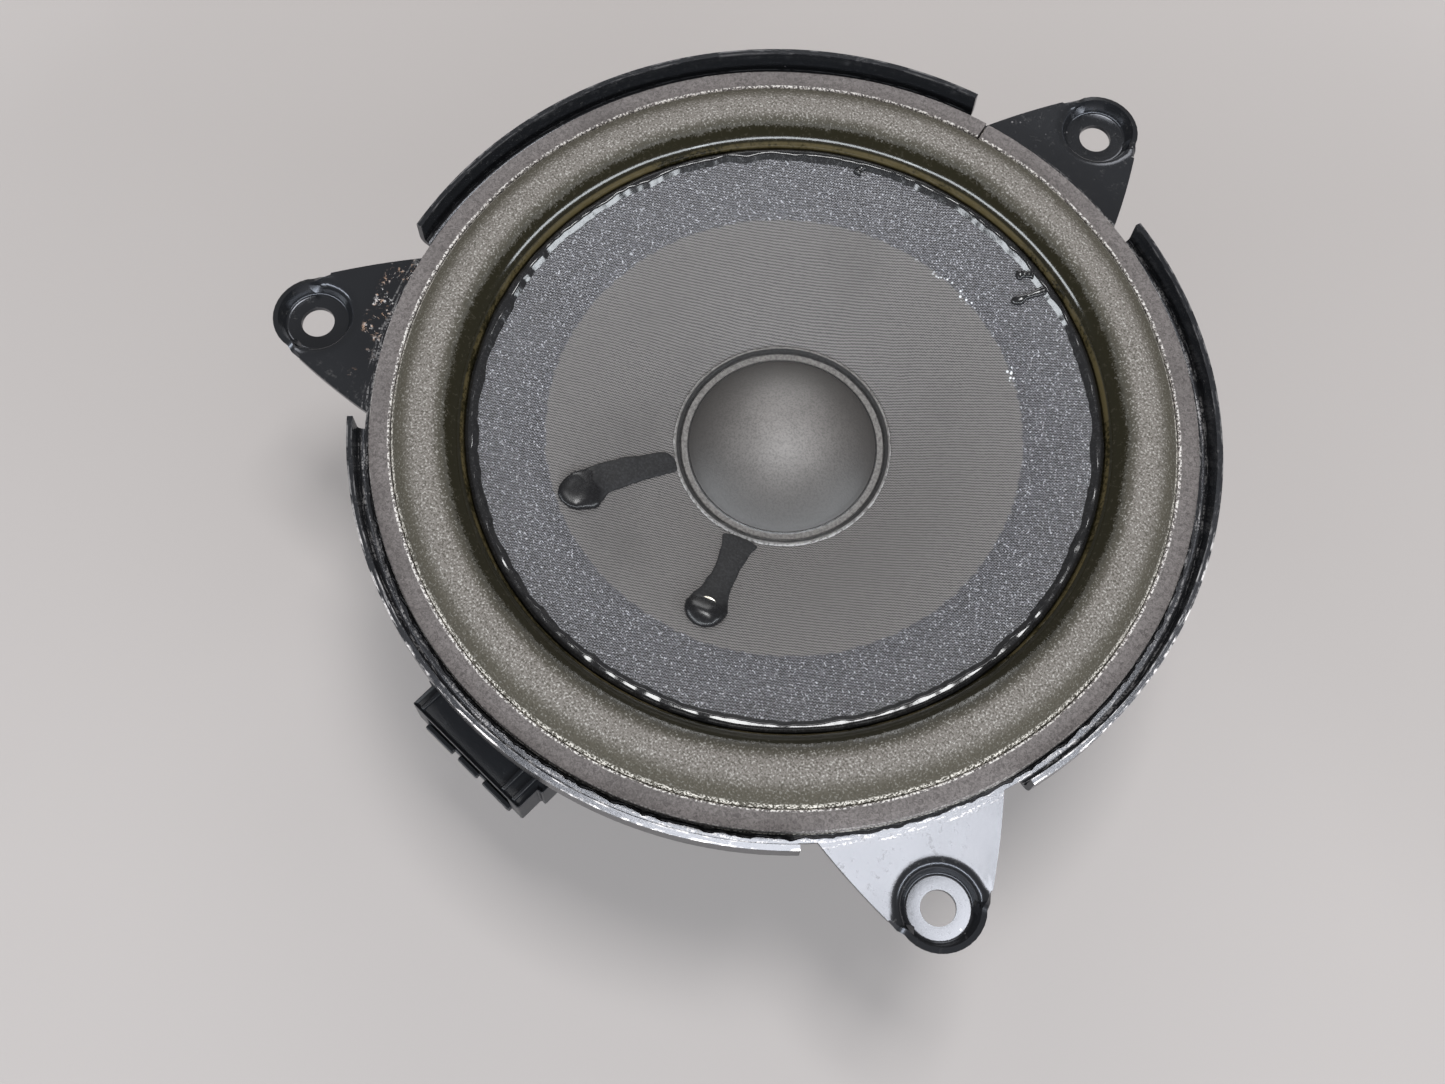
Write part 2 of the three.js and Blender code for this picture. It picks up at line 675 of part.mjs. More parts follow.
function housing() {
  const top = housingBottom + HOUSING_HEIGHT;
  const half = HOUSING_WIDTH / 2;
  const height = [housingBottom, top];
  let body = solid(block([-half, half], [-housingFront, -blockBack], height));
  const neckReach = [-blockBack - OVERLAP, -neckBack];
  const neck = block([-neckHalf, neckHalf], neckReach, height);
  const feetHeight = [housingBottom, housingBottom + FOOT_HEIGHT];
  const feet = block([-half, half], neckReach, feetHeight);
  body = body.add(solid(neck)).add(solid(feet));
  const socket = block(
    [-half + 2 * SOCKET_WALL, half - 2 * SOCKET_WALL],
    [-housingFront - CUT_PAST, -socketBack],
    [housingBottom + SOCKET_WALL, top - SOCKET_WALL],
  );
  body = body.subtract(solid(socket));
  for (const side of [-1, 1]) {
    const middle = side * BLADE_PITCH / 2;
    const slot = block(
      [middle - BLADE_THICK / 2 - GAP, middle + BLADE_THICK / 2 + GAP],
      [-socketBack - CUT_PAST, -neckBack + CUT_PAST],
      [bladeMiddle - BLADE_WIDTH / 2 - GAP, bladeMiddle + BLADE_WIDTH / 2 + GAP],
    );
    const step = block(
      [side * half - SOCKET_WALL / 2, side * half + SOCKET_WALL / 2],
      [-housingFront - CUT_PAST, -housingFront + MOUTH_STEP],
      [housingBottom - CUT_PAST, top + CUT_PAST],
    );
    body = body.subtract(solid(slot)).subtract(solid(step));
    const depth = [housingBottom - CUT_PAST, top + CUT_PAST];
    body = body.subtract(solid(rivetHole(side * footRivetX, footRivetY, ...depth)));
  }
  return geometryOf(body);
}

function blade(side) {
  const middle = side * BLADE_PITCH / 2;
  return block(
    [middle - BLADE_THICK / 2, middle + BLADE_THICK / 2],
    [-(socketBack + BLADE_REACH), -(neckBack - BLADE_TAG)],
    [bladeMiddle - BLADE_WIDTH / 2, bladeMiddle + BLADE_WIDTH / 2],
  );
}

function footRivet(side) {
  const seat = housingBottom + FOOT_HEIGHT + GAP;
  const tail = ledgeTop - SHEET - GAP;
  return turned([
    [0, tail - RIVET_HEAD_THICK],
    [RIVET_UPSET, tail - RIVET_HEAD_THICK],
    [RIVET_HEAD, tail],
    [RIVET_RADIUS, tail],
    [RIVET_RADIUS, seat],
    [RIVET_HEAD, seat],
    [RIVET_CROWN, seat + RIVET_HEAD_THICK],
    [0, seat + RIVET_HEAD_THICK],
  ], RIVET_SEGMENTS).translate(side * footRivetX, footRivetY, 0);
}

// ---- Assembly --------------------------------------------------------------

const speaker = new THREE.Group();

function place(name, geometry, material) {
  const mesh = new THREE.Mesh(closed(geometry), material);
  mesh.name = name;
  speaker.add(mesh);
}

place('yoke', yoke(), zinc);
place('magnet', tube(MAGNET_BORE, MAGNET_RADIUS, magnetBottom,
  magnetBottom + MAGNET_THICK, SMALL_SEGMENTS), ferrite);
place('top_plate', topPlate(), zinc);
place('basket', basket(), blackPaint);
place('gasket', gasket(), fibre);
place('surround', surround(), foam);
place('cone', cone(), weave);
place('edge_glue', edgeGlue(), blackGlue);
place('dust_cap', dustCap(), capFinish);
place('cap_glue', capGlue(), blackGlue);
place('coil_former', tube(formerInner, formerOuter, formerBottom, formerTop,
  SMALL_SEGMENTS), formerFilm);
place('coil_winding', tube(windingInner, windingOuter, windingBottom,
  windingBottom + WINDING_LENGTH, SMALL_SEGMENTS), copper);
place('spider', spider(), cotton);
plateRivetPlaces().forEach((spot, i) => {
  place(`plate_rivet_${i + 1}`, plateRivet(spot), zinc);
});
place('connector_housing', housing(), blackPlastic);
[-1, 1].forEach((side, i) => {
  place(`contact_blade_${i + 1}`, blade(side), tinnedBrass);
  place(`housing_rivet_${i + 1}`, footRivet(side), zinc);
  place(`lead_eyelet_${i + 1}`, eyelet(eyelets[i]), tinnedBrass);
  place(`lead_glue_${i + 1}`, leadGlue(eyelets[i]), blackGlue);
  place(`tinsel_lead_${i + 1}`, lead(eyelets[i], side), braid);
});

export default speaker;
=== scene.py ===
"""Looks of a vehicle door loudspeaker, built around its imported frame.

The driver stands on its magnet. Its cone faces +Z, its first fixing ear points to +Y and
its connector to -Y. Blender works in metres; the shapes below are drawn in millimetres
and brought to metres when a piece is finished.
"""

from __future__ import annotations

import logging
import math
from dataclasses import dataclass
from enum import Enum
from typing import Any, Mapping, Sequence

import bmesh
import bpy
from mathutils import Matrix, Vector, noise

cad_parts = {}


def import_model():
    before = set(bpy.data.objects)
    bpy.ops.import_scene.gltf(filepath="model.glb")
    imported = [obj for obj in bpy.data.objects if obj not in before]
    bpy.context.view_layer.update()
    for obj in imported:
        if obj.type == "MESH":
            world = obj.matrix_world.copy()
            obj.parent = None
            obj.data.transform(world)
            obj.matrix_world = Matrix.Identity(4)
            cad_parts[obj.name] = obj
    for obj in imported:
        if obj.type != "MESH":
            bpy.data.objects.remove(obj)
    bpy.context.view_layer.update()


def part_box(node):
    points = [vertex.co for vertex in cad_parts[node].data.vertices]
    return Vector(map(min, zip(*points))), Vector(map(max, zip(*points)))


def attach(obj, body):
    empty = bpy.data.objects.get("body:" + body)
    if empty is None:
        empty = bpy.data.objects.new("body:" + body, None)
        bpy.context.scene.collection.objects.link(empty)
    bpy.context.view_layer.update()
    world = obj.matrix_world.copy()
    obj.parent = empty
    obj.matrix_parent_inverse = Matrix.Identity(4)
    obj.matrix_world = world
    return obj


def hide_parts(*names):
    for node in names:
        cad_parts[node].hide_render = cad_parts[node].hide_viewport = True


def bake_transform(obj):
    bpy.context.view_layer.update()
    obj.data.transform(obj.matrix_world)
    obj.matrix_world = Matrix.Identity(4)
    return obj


LOG = logging.getLogger("door_speaker")

MM = 0.001
FULL_TURN = 2 * math.pi
EAR_ANGLES = (90.0, 210.0, 330.0)
CONNECTOR_ANGLE = 270.0
MERGE = 0.002
SEAT_RADIUS = 0.08

Point = tuple[float, float]
Outline = list[Point]
Corner = tuple[float, float, float]
Colour = tuple[float, float, float]


class Body(Enum):
    """The two bodies of the driver."""

    FIXED = "frame"
    MOVING = "cone_assembly"


class Slot(Enum):
    """Material slots of the driver."""

    STEEL = "plated_steel"
    FERRITE = "ferrite"
    PAINT = "black_paint"
    FIBRE = "gasket_fibre"
    FOAM = "surround_foam"
    WEAVE = "cone_weave"
    GLUE = "black_glue"
    CAP = "dust_cap_paper"
    FILM = "former_film"
    COPPER = "copper_wire"
    COTTON = "spider_cotton"
    PLASTIC = "black_plastic"
    BRASS = "tinned_brass"
    BRAID = "tinsel_braid"


# ---------------------------------------------------------------------------
# Shader maths
# ---------------------------------------------------------------------------


class Sig:
    """A shader socket that can stand in a Python expression."""

    def __init__(self, shader: "Shader", socket: bpy.types.NodeSocket) -> None:
        """Wrap a socket of a shader's tree."""
        self.shader = shader
        self.socket = socket

    def _math(self, operation: str, *values: Any) -> "Sig":
        """Add a Math node.

        Args:
            operation: The Math node's operation.
            values: Its inputs, in order.

        Returns:
            The node's result.
        """
        inputs = dict(enumerate(values))
        return self.shader.node("ShaderNodeMath", {"operation": operation}, inputs)

    def __add__(self, other: Any) -> "Sig":
        """Sum."""
        return self._math("ADD", self, other)

    __radd__ = __add__

    def __sub__(self, other: Any) -> "Sig":
        """Difference."""
        return self._math("SUBTRACT", self, other)

    def __rsub__(self, other: Any) -> "Sig":
        """Difference with the plain value first."""
        return self._math("SUBTRACT", other, self)

    def __mul__(self, other: Any) -> "Sig":
        """Product."""
        return self._math("MULTIPLY", self, other)

    __rmul__ = __mul__

    def __pow__(self, other: Any) -> "Sig":
        """Power."""
        return self._math("POWER", self, other)

    def sine(self) -> "Sig":
        """Sine of an angle in radians."""
        return self._math("SINE", self)

    def size(self) -> "Sig":
        """Value without its sign."""
        return self._math("ABSOLUTE", self)

    def most(self, other: Any) -> "Sig":
        """Larger of two values."""
        return self._math("MAXIMUM", self, other)

    def turn_of(self, other: Any) -> "Sig":
        """Angle of the point whose Y is this and whose X is the other."""
        return self._math("ARCTAN2", self, other)

    def between(self, low: float, high: float) -> "Sig":
        """Value from low at 0 to high at 1."""
        return self * (high - low) + low

    def step(self, low: float, high: float) -> "Sig":
        """Rise smoothly from 0 to 1.

        Args:
            low: Where the rise begins.
            high: Where it ends; below low, the value falls instead.

        Returns:
            A value from 0 to 1.
        """
        rising = high > low
        inputs = {
            "Value": self,
            "From Min": min(low, high),
            "From Max": max(low, high),
            "To Min": 0.0 if rising else 1.0,
            "To Max": 1.0 if rising else 0.0,
        }
        return self.shader.node("ShaderNodeMapRange", {"interpolation_type": "SMOOTHSTEP"}, inputs)

    def band(self, low: float, high: float, edge: float) -> "Sig":
        """Be 1 between two values and fade to 0 over an edge outside them.

        Args:
            low: Where the band begins.
            high: Where it ends.
            edge: The width of each fade.

        Returns:
            A value from 0 to 1.
        """
        return self.step(low - edge, low) * self.step(high + edge, high)


class Shader:
    """A material under construction: its node tree and its Principled shader."""

    def __init__(self, name: str) -> None:
        """Start a material with a bare Principled shader.

        Args:
            name: The material's name.
        """
        self.material = bpy.data.materials.new(name)
        self.material.use_nodes = True
        self.tree = self.material.node_tree
        self.surface = self.tree.nodes["Principled BSDF"]

    def node(
        self,
        kind: str,
        settings: Mapping[str, Any] | None = None,
        inputs: Mapping[Any, Any] | None = None,
        output: int | str = 0,
    ) -> Sig:
        """Add a node.

        Args:
            kind: The node's type.
            settings: Its own settings, set before its inputs.
            inputs: Values or links of its sockets, by name or number.
            output: Which output to return.

        Returns:
            The chosen output.
        """
        made = self.tree.nodes.new(kind)
        for key, value in (settings or {}).items():
            setattr(made, key, value)
        for key, value in (inputs or {}).items():
            self.feed(made.inputs[key], value)
        return Sig(self, made.outputs[output])

    def feed(self, socket: bpy.types.NodeSocket, value: Any) -> None:
        """Link or set a socket.

        Args:
            socket: The socket that takes the value.
            value: A Sig, a number, or a colour.
        """
        if isinstance(value, Sig):
            self.tree.links.new(value.socket, socket)
        elif isinstance(value, tuple) and socket.type == "RGBA":
            socket.default_value = (*value[:3], 1.0)
        else:
            socket.default_value = value

    def dress(self, **values: Any) -> None:
        """Set the Principled shader's sockets, named with underscores for spaces."""
        for key, value in values.items():
            self.feed(self.surface.inputs[key.replace("_", " ")], value)

    def place(self) -> Sig:
        """Point on the piece, in metres."""
        return self.node("ShaderNodeTexCoord", output="Object")

    def axes(self, point: Sig) -> tuple[Sig, Sig, Sig]:
        """Split a point into its coordinates in millimetres.

        Args:
            point: The point, in metres.

        Returns:
            X, Y and Z.
        """
        split = [self.node("ShaderNodeSeparateXYZ", {}, {0: point}, k) for k in range(3)]
        return split[0] * 1000, split[1] * 1000, split[2] * 1000

    def spread(self) -> tuple[Sig, Sig, Sig, Sig]:
        """Place of the point on the piece, in millimetres.

        Returns:
            Its distance from the axis, and its X, Y and Z.
        """
        x, y, z = self.axes(self.place())
        return (x * x + y * y) ** 0.5, x, y, z

    def polar(self, along: float) -> tuple[Sig, Sig]:
        """Point on the piece, as it lies about the axis.

        Args:
            along: How much longer round the axis a pattern on the returned point is.

        Returns:
            Its radius in millimetres, and the squeezed point in metres.
        """
        radius, x, y, z = self.spread()
        inputs = {0: radius * MM, 1: y.turn_of(x) * (SEAT_RADIUS / along), 2: z * MM}
        return radius, self.node("ShaderNodeCombineXYZ", {}, inputs)

    def grain(self, pitch: float, detail: float = 2.0, rough: float = 0.5, **extra: Any) -> Sig:
        """Noise from 0 to 1.

        Args:
            pitch: Size of its features, in millimetres.
            detail: How many finer layers it has.
            rough: How strong those layers are.
            extra: Further Noise inputs, or Vector for another point.

        Returns:
            The noise's value.
        """
        inputs = {"Scale": 1000 / pitch, "Detail": detail, "Roughness": rough, **extra}
        inputs.setdefault("Vector", self.place())
        return self.node("ShaderNodeTexNoise", {}, inputs, "Fac")

    def cells(self, pitch: float) -> Sig:
        """Distance to scattered points, from 0 at each one.

        Args:
            pitch: Distance between the points, in millimetres.

        Returns:
            The distance, in shares of the pitch.
        """
        inputs = {"Scale": 1000 / pitch, "Vector": self.place()}
        return self.node("ShaderNodeTexVoronoi", {}, inputs, "Distance")

    def mix(self, first: Any, second: Any, share: Any) -> Sig:
        """Mix two colours.

        Args:
            first: The colour at share 0.
            second: The colour at share 1.
            share: How much of the second.

        Returns:
            The mixed colour.
        """
        settings = {"data_type": "RGBA"}
        return self.node("ShaderNodeMix", settings, {0: share, 6: first, 7: second}, 2)

    def raised(self, height: Any, depth: float, strength: float) -> Sig:
        """Turn heights into a normal.

        Args:
            height: Height from 0 to 1.
            depth: Its real depth, in millimetres.
            strength: How much of it shows.

        Returns:
            The bumped normal.
        """
        inputs = {"Height": height, "Distance": depth * MM, "Strength": strength}
        return self.node("ShaderNodeBump", {}, inputs, "Normal")


# ---------------------------------------------------------------------------
# Finishes
# ---------------------------------------------------------------------------


@dataclass(frozen=True)
class Finish:
    """A finish: its name, and in each kind its colours and sizes."""

    name: str

    def material(self) -> bpy.types.Material:
        """Make the finish a material.

        Returns:
            The material.
        """
        s = Shader(self.name)
        self.paint(s)
        return s.material

    def paint(self, s: Shader) -> None:
        """Dress a shader in the finish, as each kind does in its own way."""
        raise NotImplementedError


@dataclass(frozen=True)
class GlossPaint(Finish):
    """Black stove paint on sheet steel, scuffed and worn through at its edges; part of its bright
    wear is painted highlight.
    """

    name: str = "black_stove_paint"
    base: Colour = (0.012, 0.0125, 0.014)
    steel: Colour = (0.62, 0.6, 0.6)
    rust: Colour = (0.42, 0.26, 0.17)
    dusty: Colour = (0.06, 0.058, 0.056)
    rim_top: float = 66.4
    rim_inner: float = 81.9
    rim_outer: float = 83.0
    flange_top: float = 60.6
    rusted_x: Point = (-66.0, -72.0)
    rusted_y: Point = (-20.0, -30.0)

    def paint(self, s: Shader) -> None:
        """Build the paint.

        Args:
            s: The shader.
        """
        x, y, z = s.axes(s.place())
        radius, streaked = s.polar(9.0)
        broad = s.grain(22, 3)
        fine = s.grain(0.5, 3, 0.7)
        streaks = s.grain(0.5, 3, 0.6, Vector=streaked)
        dust = s.grain(1.4, 4, 0.7).step(0.56, 0.72) * broad.step(0.4, 0.62)
        lip = z.step(self.rim_top - 0.5, self.rim_top - 0.05)
        lip = lip * radius.step(self.rim_inner - 0.4, self.rim_inner - 0.1)
        outer_arris = radius.band(self.rim_outer - 0.28, self.rim_outer + 0.2, 0.08)
        inner_arris = radius.band(self.rim_inner - 0.2, self.rim_inner + 0.2, 0.08) * 0.45
        patchy = s.grain(5, 3, 0.7).step(0.42, 0.58)
        dashes = s.grain(0.7, 4, 0.8, Vector=streaked).step(0.44, 0.54)
        # Bright steel on the rim's top is worn paint and painted highlight: dashed glints along its
        # arrises, made stronger on the near side, where the camera stands.
        worn_and_glints = lip * outer_arris.most(inner_arris) * dashes
        worn_and_glints = (worn_and_glints + lip * streaks.step(0.6, 0.66) * 0.4) * patchy
        near_side = (x - y).step(0, 60)
        worn_and_glints = worn_and_glints * near_side.between(0.25, 1.0)
        # Bright specks in the groove are dust and painted sparkle, left off the far side.
        groove = radius.band(self.rim_inner - 2.4, self.rim_inner - 0.3, 0.25)
        groove = groove * z.step(self.flange_top + 1.0, self.flange_top + 0.3)
        far_side = (y * 0.57 - x * 0.82).step(30, 65)
        dusty = groove * streaks.step(0.48, 0.6) * fine.step(0.42, 0.56) * (1 - far_side)
        chips = s.cells(2.6).step(0.1, 0.05) * s.grain(9, 2).step(0.56, 0.64)
        bare = worn_and_glints.most(chips * 0.4).most(dusty * 0.4)
        ear_root = radius.band(self.rim_outer - 2.5, self.rim_outer + 1.5, 1.5)
        ear_root = x.step(*self.rusted_x) * y.step(*self.rusted_y) * ear_root
        clusters = s.grain(5, 3, 0.7).step(0.5, 0.58)
        specks = ear_root * clusters * s.grain(0.8, 3, 0.8).step(0.54, 0.59)
        colour = s.mix(self.base, self.dusty, dust * 0.6)
        colour = s.mix(colour, self.steel, bare)
        speck_colour = s.mix(self.rust, self.steel, s.grain(1.5, 2).step(0.4, 0.6))
        colour = s.mix(colour, speck_colour, specks)
        rough = 0.15 + broad * 0.1 + dust * 0.08 + specks * 0.4 + bare * 0.15
        inboard = radius.step(self.rim_outer + 5, self.rim_outer - 2)
        relief = s.grain(0.9, 2) * 0.25 + s.grain(6, 1) * 0.45 + fine * inboard * 0.5
        s.dress(
            Base_Color=colour,
            Roughness=rough,
            Metallic=bare * 0.9,
            Specular_IOR_Level=0.64,
            Specular_Tint=(0.88, 0.91, 1.0),
            Normal=s.raised(relief, 0.06, 0.4),
        )


@dataclass(frozen=True)
class PlatedSteel(Finish):
    """Dull zinc plating on turned or pressed steel."""

    name: str = "zinc_plate"
    base: Colour = (0.46, 0.46, 0.45)
    stain: Colour = (0.27, 0.25, 0.22)

    def paint(self, s: Shader) -> None:
        """Build the plating.

        Args:
            s: The shader.
        """
        blotch = s.grain(9, 4, 0.6)
        radius, *_ = s.spread()
        turned = (radius * 9 + s.grain(14, 1) * 6).sine()
        colour = s.mix(self.base, self.stain, blotch.step(0.45, 0.75))
        rough = 0.34 + blotch * 0.22
        relief = turned * 0.15 + s.grain(0.5, 3) * 0.85
        s.dress(
            Base_Color=colour,
            Roughness=rough,
            Metallic=1.0,
            Normal=s.raised(relief, 0.02, 0.6),
        )


@dataclass(frozen=True)
class Ferrite(Finish):
    """Pressed and ground ceramic magnet with chipped arrises."""

    name: str = "ferrite"
    base: Colour = (0.045, 0.045, 0.048)
    pale: Colour = (0.11, 0.105, 0.1)

    def paint(self, s: Shader) -> None:
        """Build the ceramic.

        Args:
            s: The shader.
        """
        blotch = s.grain(7, 5, 0.65)
        grit = s.grain(0.35, 3, 0.7)
        pits = s.cells(2.4).step(0.22, 0.1)
        colour = s.mix(self.base, self.pale, blotch.step(0.5, 0.85) * 0.6 + grit * 0.15)
        relief = grit * 0.5 + (1 - pits) * 0.5
        s.dress(
            Base_Color=colour,
            Roughness=0.5 + blotch * 0.25,
            Normal=s.raised(relief, 0.06, 0.8),
        )


@dataclass(frozen=True)
class GasketFibre(Finish):
    """Warm grey fibre board with short pressed fibres, and pale grit at its edges that is partly
    painted sparkle.
    """

    name: str = "gasket_fibre"
    base: Colour = (0.2, 0.18, 0.176)
    dark: Colour = (0.08, 0.071, 0.069)
    grit: Colour = (0.8, 0.77, 0.74)
    inner_radius: float = 75.3

    def paint(self, s: Shader) -> None:
        """Build the board.

        Args:
            s: The shader.
        """
        radius, *_ = s.spread()
        fibres = s.grain(0.6, 4, 0.75, Distortion=1.0)
        stains = s.grain(16, 3)
        colour = s.mix(self.dark, self.base, fibres.step(0.32, 0.66))
        colour = s.mix(colour, self.dark, stains.step(0.5, 0.75) * 0.45)
        # Pale grit along the inner and outer edges is fibre grit and painted sparkle highlight.
        grit = s.grain(0.42, 2, 0.6).step(0.47, 0.56)
        inner = radius.step(self.inner_radius + 0.6, self.inner_radius + 0.3) * grit
        outer = radius.step(79.0, 79.25) * grit * 0.35
        colour = s.mix(colour, self.grit, inner.most(outer))
        s.dress(
            Base_Color=colour,
            Roughness=0.72 + fibres * 0.2,
            Specular_IOR_Level=0.4,
            Normal=s.raised(fibres, 0.09, 0.8),
        )


@dataclass(frozen=True)
class SurroundFoam(Finish):
    """Fine olive-grey foam whose inner slope is soaked with glossy adhesive; its crown carries a
    painted highlight with painted glints, and painted shade darkens the dry foam beside the soaked
    slope.
    """

    name: str = "surround_foam"
    # pale is the colour of the painted crown highlight and spark that of its painted glints; pore
    # also colours the painted shade.
    pale: Colour = (0.185, 0.168, 0.153)
    base: Colour = (0.066, 0.058, 0.042)
    pore: Colour = (0.045, 0.04, 0.028)
    spark: Colour = (0.5, 0.485, 0.455)
    crumbs_and_sparkle: Colour = (0.85, 0.8, 0.72)
    soaked: Colour = (0.012, 0.0105, 0.0045)
    amber: Colour = (0.08, 0.063, 0.029)
    crown_radius: float = 69.0
    soaked_radius: float = 65.0
    foot_radius: float = 61.75
    outer_radius: float = 75.3

    def paint(self, s: Shader) -> None:
        """Build the foam.

        Args:
            s: The shader.
        """
        radius, *_ = s.spread()
        pores = s.grain(0.4, 2, 0.6)
        clots = s.grain(0.9, 3, 0.7)
        broad = s.grain(14, 2)
        ragged = radius + (clots - 0.5) * 1.6 + (pores - 0.5) * 1.6 + (broad - 0.5) * 1.4
        wet = ragged.step(self.soaked_radius + 0.6, self.soaked_radius - 1.0)
        # Painted highlight: the roll's crown is painted paler where light falls on its top, and the
        # sparkle on it is painted glints.
        crown_highlight = radius.band(self.crown_radius - 1.2, self.crown_radius + 1.0, 3.4)
        dry = s.mix(self.base, self.pale, crown_highlight * 0.9)
        # Painted shade: the dry foam is painted darker over the last millimetres before the soaked
        # slope.
        dry = s.mix(dry, self.pore, ragged.step(self.soaked_radius + 2.4, self.soaked_radius))
        dry = s.mix(dry, self.pore, pores.step(0.48, 0.36) * 0.75)
        dry = s.mix(dry, self.spark, pores.step(0.57, 0.66) * crown_highlight.between(0.2, 0.65))
        # Pale specks along the outer edge are crumbs and painted sparkle.
        rim = radius.step(self.outer_radius - 0.9, self.outer_radius - 0.5)
        dry = s.mix(dry, self.crumbs_and_sparkle, rim * pores.step(0.46, 0.55) * clots.step(0.36, 0.5) * 0.85)
        foot = radius.band(self.foot_radius - 0.15, self.foot_radius + 0.1, 0.3)
        inner = s.mix(self.soaked, self.amber, foot * (broad * 0.6 + clots * 0.4).step(0.4, 0.56))
        inner = s.mix(inner, self.pore, clots.step(0.55, 0.7) * 0.5)
        colour = s.mix(dry, inner, wet)
        s.dress(
            Base_Color=colour,
            Roughness=wet.between(0.85, 0.11),
            Specular_IOR_Level=0.5,
            Normal=s.raised(pores * (1 - wet) + clots * wet * 0.12, 0.11, 0.8),
        )


@dataclass(frozen=True)
class ConeWeave(Finish):
    """Woven cone cloth: bare and brownish inside, coated near its edge, with painted glints on the
    coat and on the glue beads at its seam.
    """

    name: str = "cone_weave"
    bare: Colour = (0.18, 0.171, 0.168)
    bare_dark: Colour = (0.03, 0.028, 0.028)
    coated: Colour = (0.1, 0.1, 0.114)
    coated_dark: Colour = (0.004, 0.004, 0.005)
    glint: Colour = (0.75, 0.76, 0.82)
    bead_glint: Colour = (0.8, 0.82, 0.86)
    coat_radius: float = 46.1
    pitch: float = 0.58
    lay: float = 36.0

    def paint(self, s: Shader) -> None:
        """Build the cloth.

        Args:
            s: The shader.
        """
        radius, x, y, _ = s.spread()
        wander = (s.grain(5, 2) - 0.5) * 0.6
        cosine, sine = math.cos(math.radians(self.lay)), math.sin(math.radians(self.lay))
        warp = (x * cosine + y * sine + wander) * (FULL_TURN / self.pitch)
        weft = (y * cosine - x * sine + wander) * (FULL_TURN / self.pitch)
        threads = warp.sine() * weft.sine() * 0.5 + 0.5
        rows = (weft * 0.5).sine().size()
        fuzz = s.grain(0.5, 3, 0.75)
        cloth = threads * 0.3 + rows * 0.3 + fuzz * 0.4
        coarse = threads * 0.3 + rows * 0.2 + s.grain(0.6, 2, 0.6) * 0.5
        edge = radius + (s.grain(1.3, 3) - 0.5) * 1.4
        coat = edge.step(self.coat_radius - 0.25, self.coat_radius + 0.25)
        # Painted glints: pale specks scattered over the coated band.
        glints = s.grain(0.4, 2, 0.6).step(0.6, 0.66)
        inside = s.mix(self.bare_dark, self.bare, cloth.step(0.3, 0.68))
        outside = s.mix(self.coated_dark, self.coated, coarse.step(0.46, 0.57))
        outside = s.mix(outside, self.glint, glints * 0.5)
        patch = s.grain(30, 3)
        colour = s.mix(inside, outside, coat)
        colour = s.mix(colour, self.bare_dark, patch.step(0.5, 0.8) * 0.25)
        # Glue beads along the coat's seam: raised in the bump and painted pale as glints, on the
        # far side only.
        seam = radius.band(self.coat_radius - 0.5, self.coat_radius + 0.6, 0.3)
        far_side = (y * 0.95 + x * 0.3).step(20, 38)
        glinting_beads = seam * s.cells(0.9).step(0.36, 0.22) * s.grain(9, 2).step(0.55, 0.6) * far_side
        colour = s.mix(colour, self.bead_glint, glinting_beads * 0.9)
        s.dress(
            Base_Color=colour,
            Roughness=coat.between(0.58, 0.3),
            Specular_IOR_Level=0.42,
            Normal=s.raised(cloth * (1 - coat) + coarse * coat + glinting_beads * 0.4, 0.16, 0.8),
        )


@dataclass(frozen=True)
class CapSkin(Finish):
    """Satin dark dome, painted paler at its crown as a painted highlight."""

    name: str = "dust_cap_skin"
    base: Colour = (0.045, 0.041, 0.039)
    painted_crown_colour: Colour = (0.24, 0.224, 0.216)
    pore: Colour = (0.03, 0.028, 0.026)
    radius: float = 18.5

    def paint(self, s: Shader) -> None:
        """Build the dome's skin.

        Args:
            s: The shader.
        """
        radius, *_ = s.spread()
        cloud = s.grain(8, 4, 0.6)
        fine = s.grain(0.42, 3, 0.7)
        # Painted highlight: the dome is painted paler towards its crown, where the light falls on
        # it.
        crown_highlight = radius.step(self.radius, self.radius * 0.12)
        colour = s.mix(self.base, self.painted_crown_colour, crown_highlight * cloud.between(0.35, 1.0))
        colour = s.mix(colour, self.pore, fine.step(0.4, 0.66) * 0.5)
        scratches = s.grain(0.8, 2, 0.5, Distortion=4.0).step(0.6, 0.66)
        s.dress(
            Base_Color=colour,
            Roughness=0.44 + cloud * 0.06 + scratches * 0.06,
            Specular_IOR_Level=0.8,
            Normal=s.raised(fine, 0.06, 0.8),
        )


@dataclass(frozen=True)
class SoakedGlue(Finish):
    """Black adhesive brushed thin on the cloth, which shows through, and glossy at its ends."""

    name: str = "soaked_glue"
    base: Colour = (0.009, 0.009, 0.01)
    dust: Colour = (0.03, 0.03, 0.033)
    blob_radius: float = 38.5

    def paint(self, s: Shader) -> None:
        """Build the adhesive.

        Args:
            s: The shader.
        """
        radius, *_ = s.spread()
        cloth = s.grain(0.5, 3, 0.7)
        lumps = s.grain(2.2, 2, 0.5)
        blob = (radius + (lumps - 0.5) * 3).step(self.blob_radius - 1.4, self.blob_radius)
        thin = 1 - blob
        colour = s.mix(self.base, self.dust, cloth.step(0.4, 0.7) * thin.between(0.25, 0.8))
        s.dress(
            Base_Color=colour,
            Roughness=blob.between(0.6, 0.22) + cloth * 0.1,
            Specular_IOR_Level=0.4,
            Normal=s.raised(cloth * thin * 0.7 + lumps * thin.between(0.12, 0.3), 0.14, 0.7),
        )


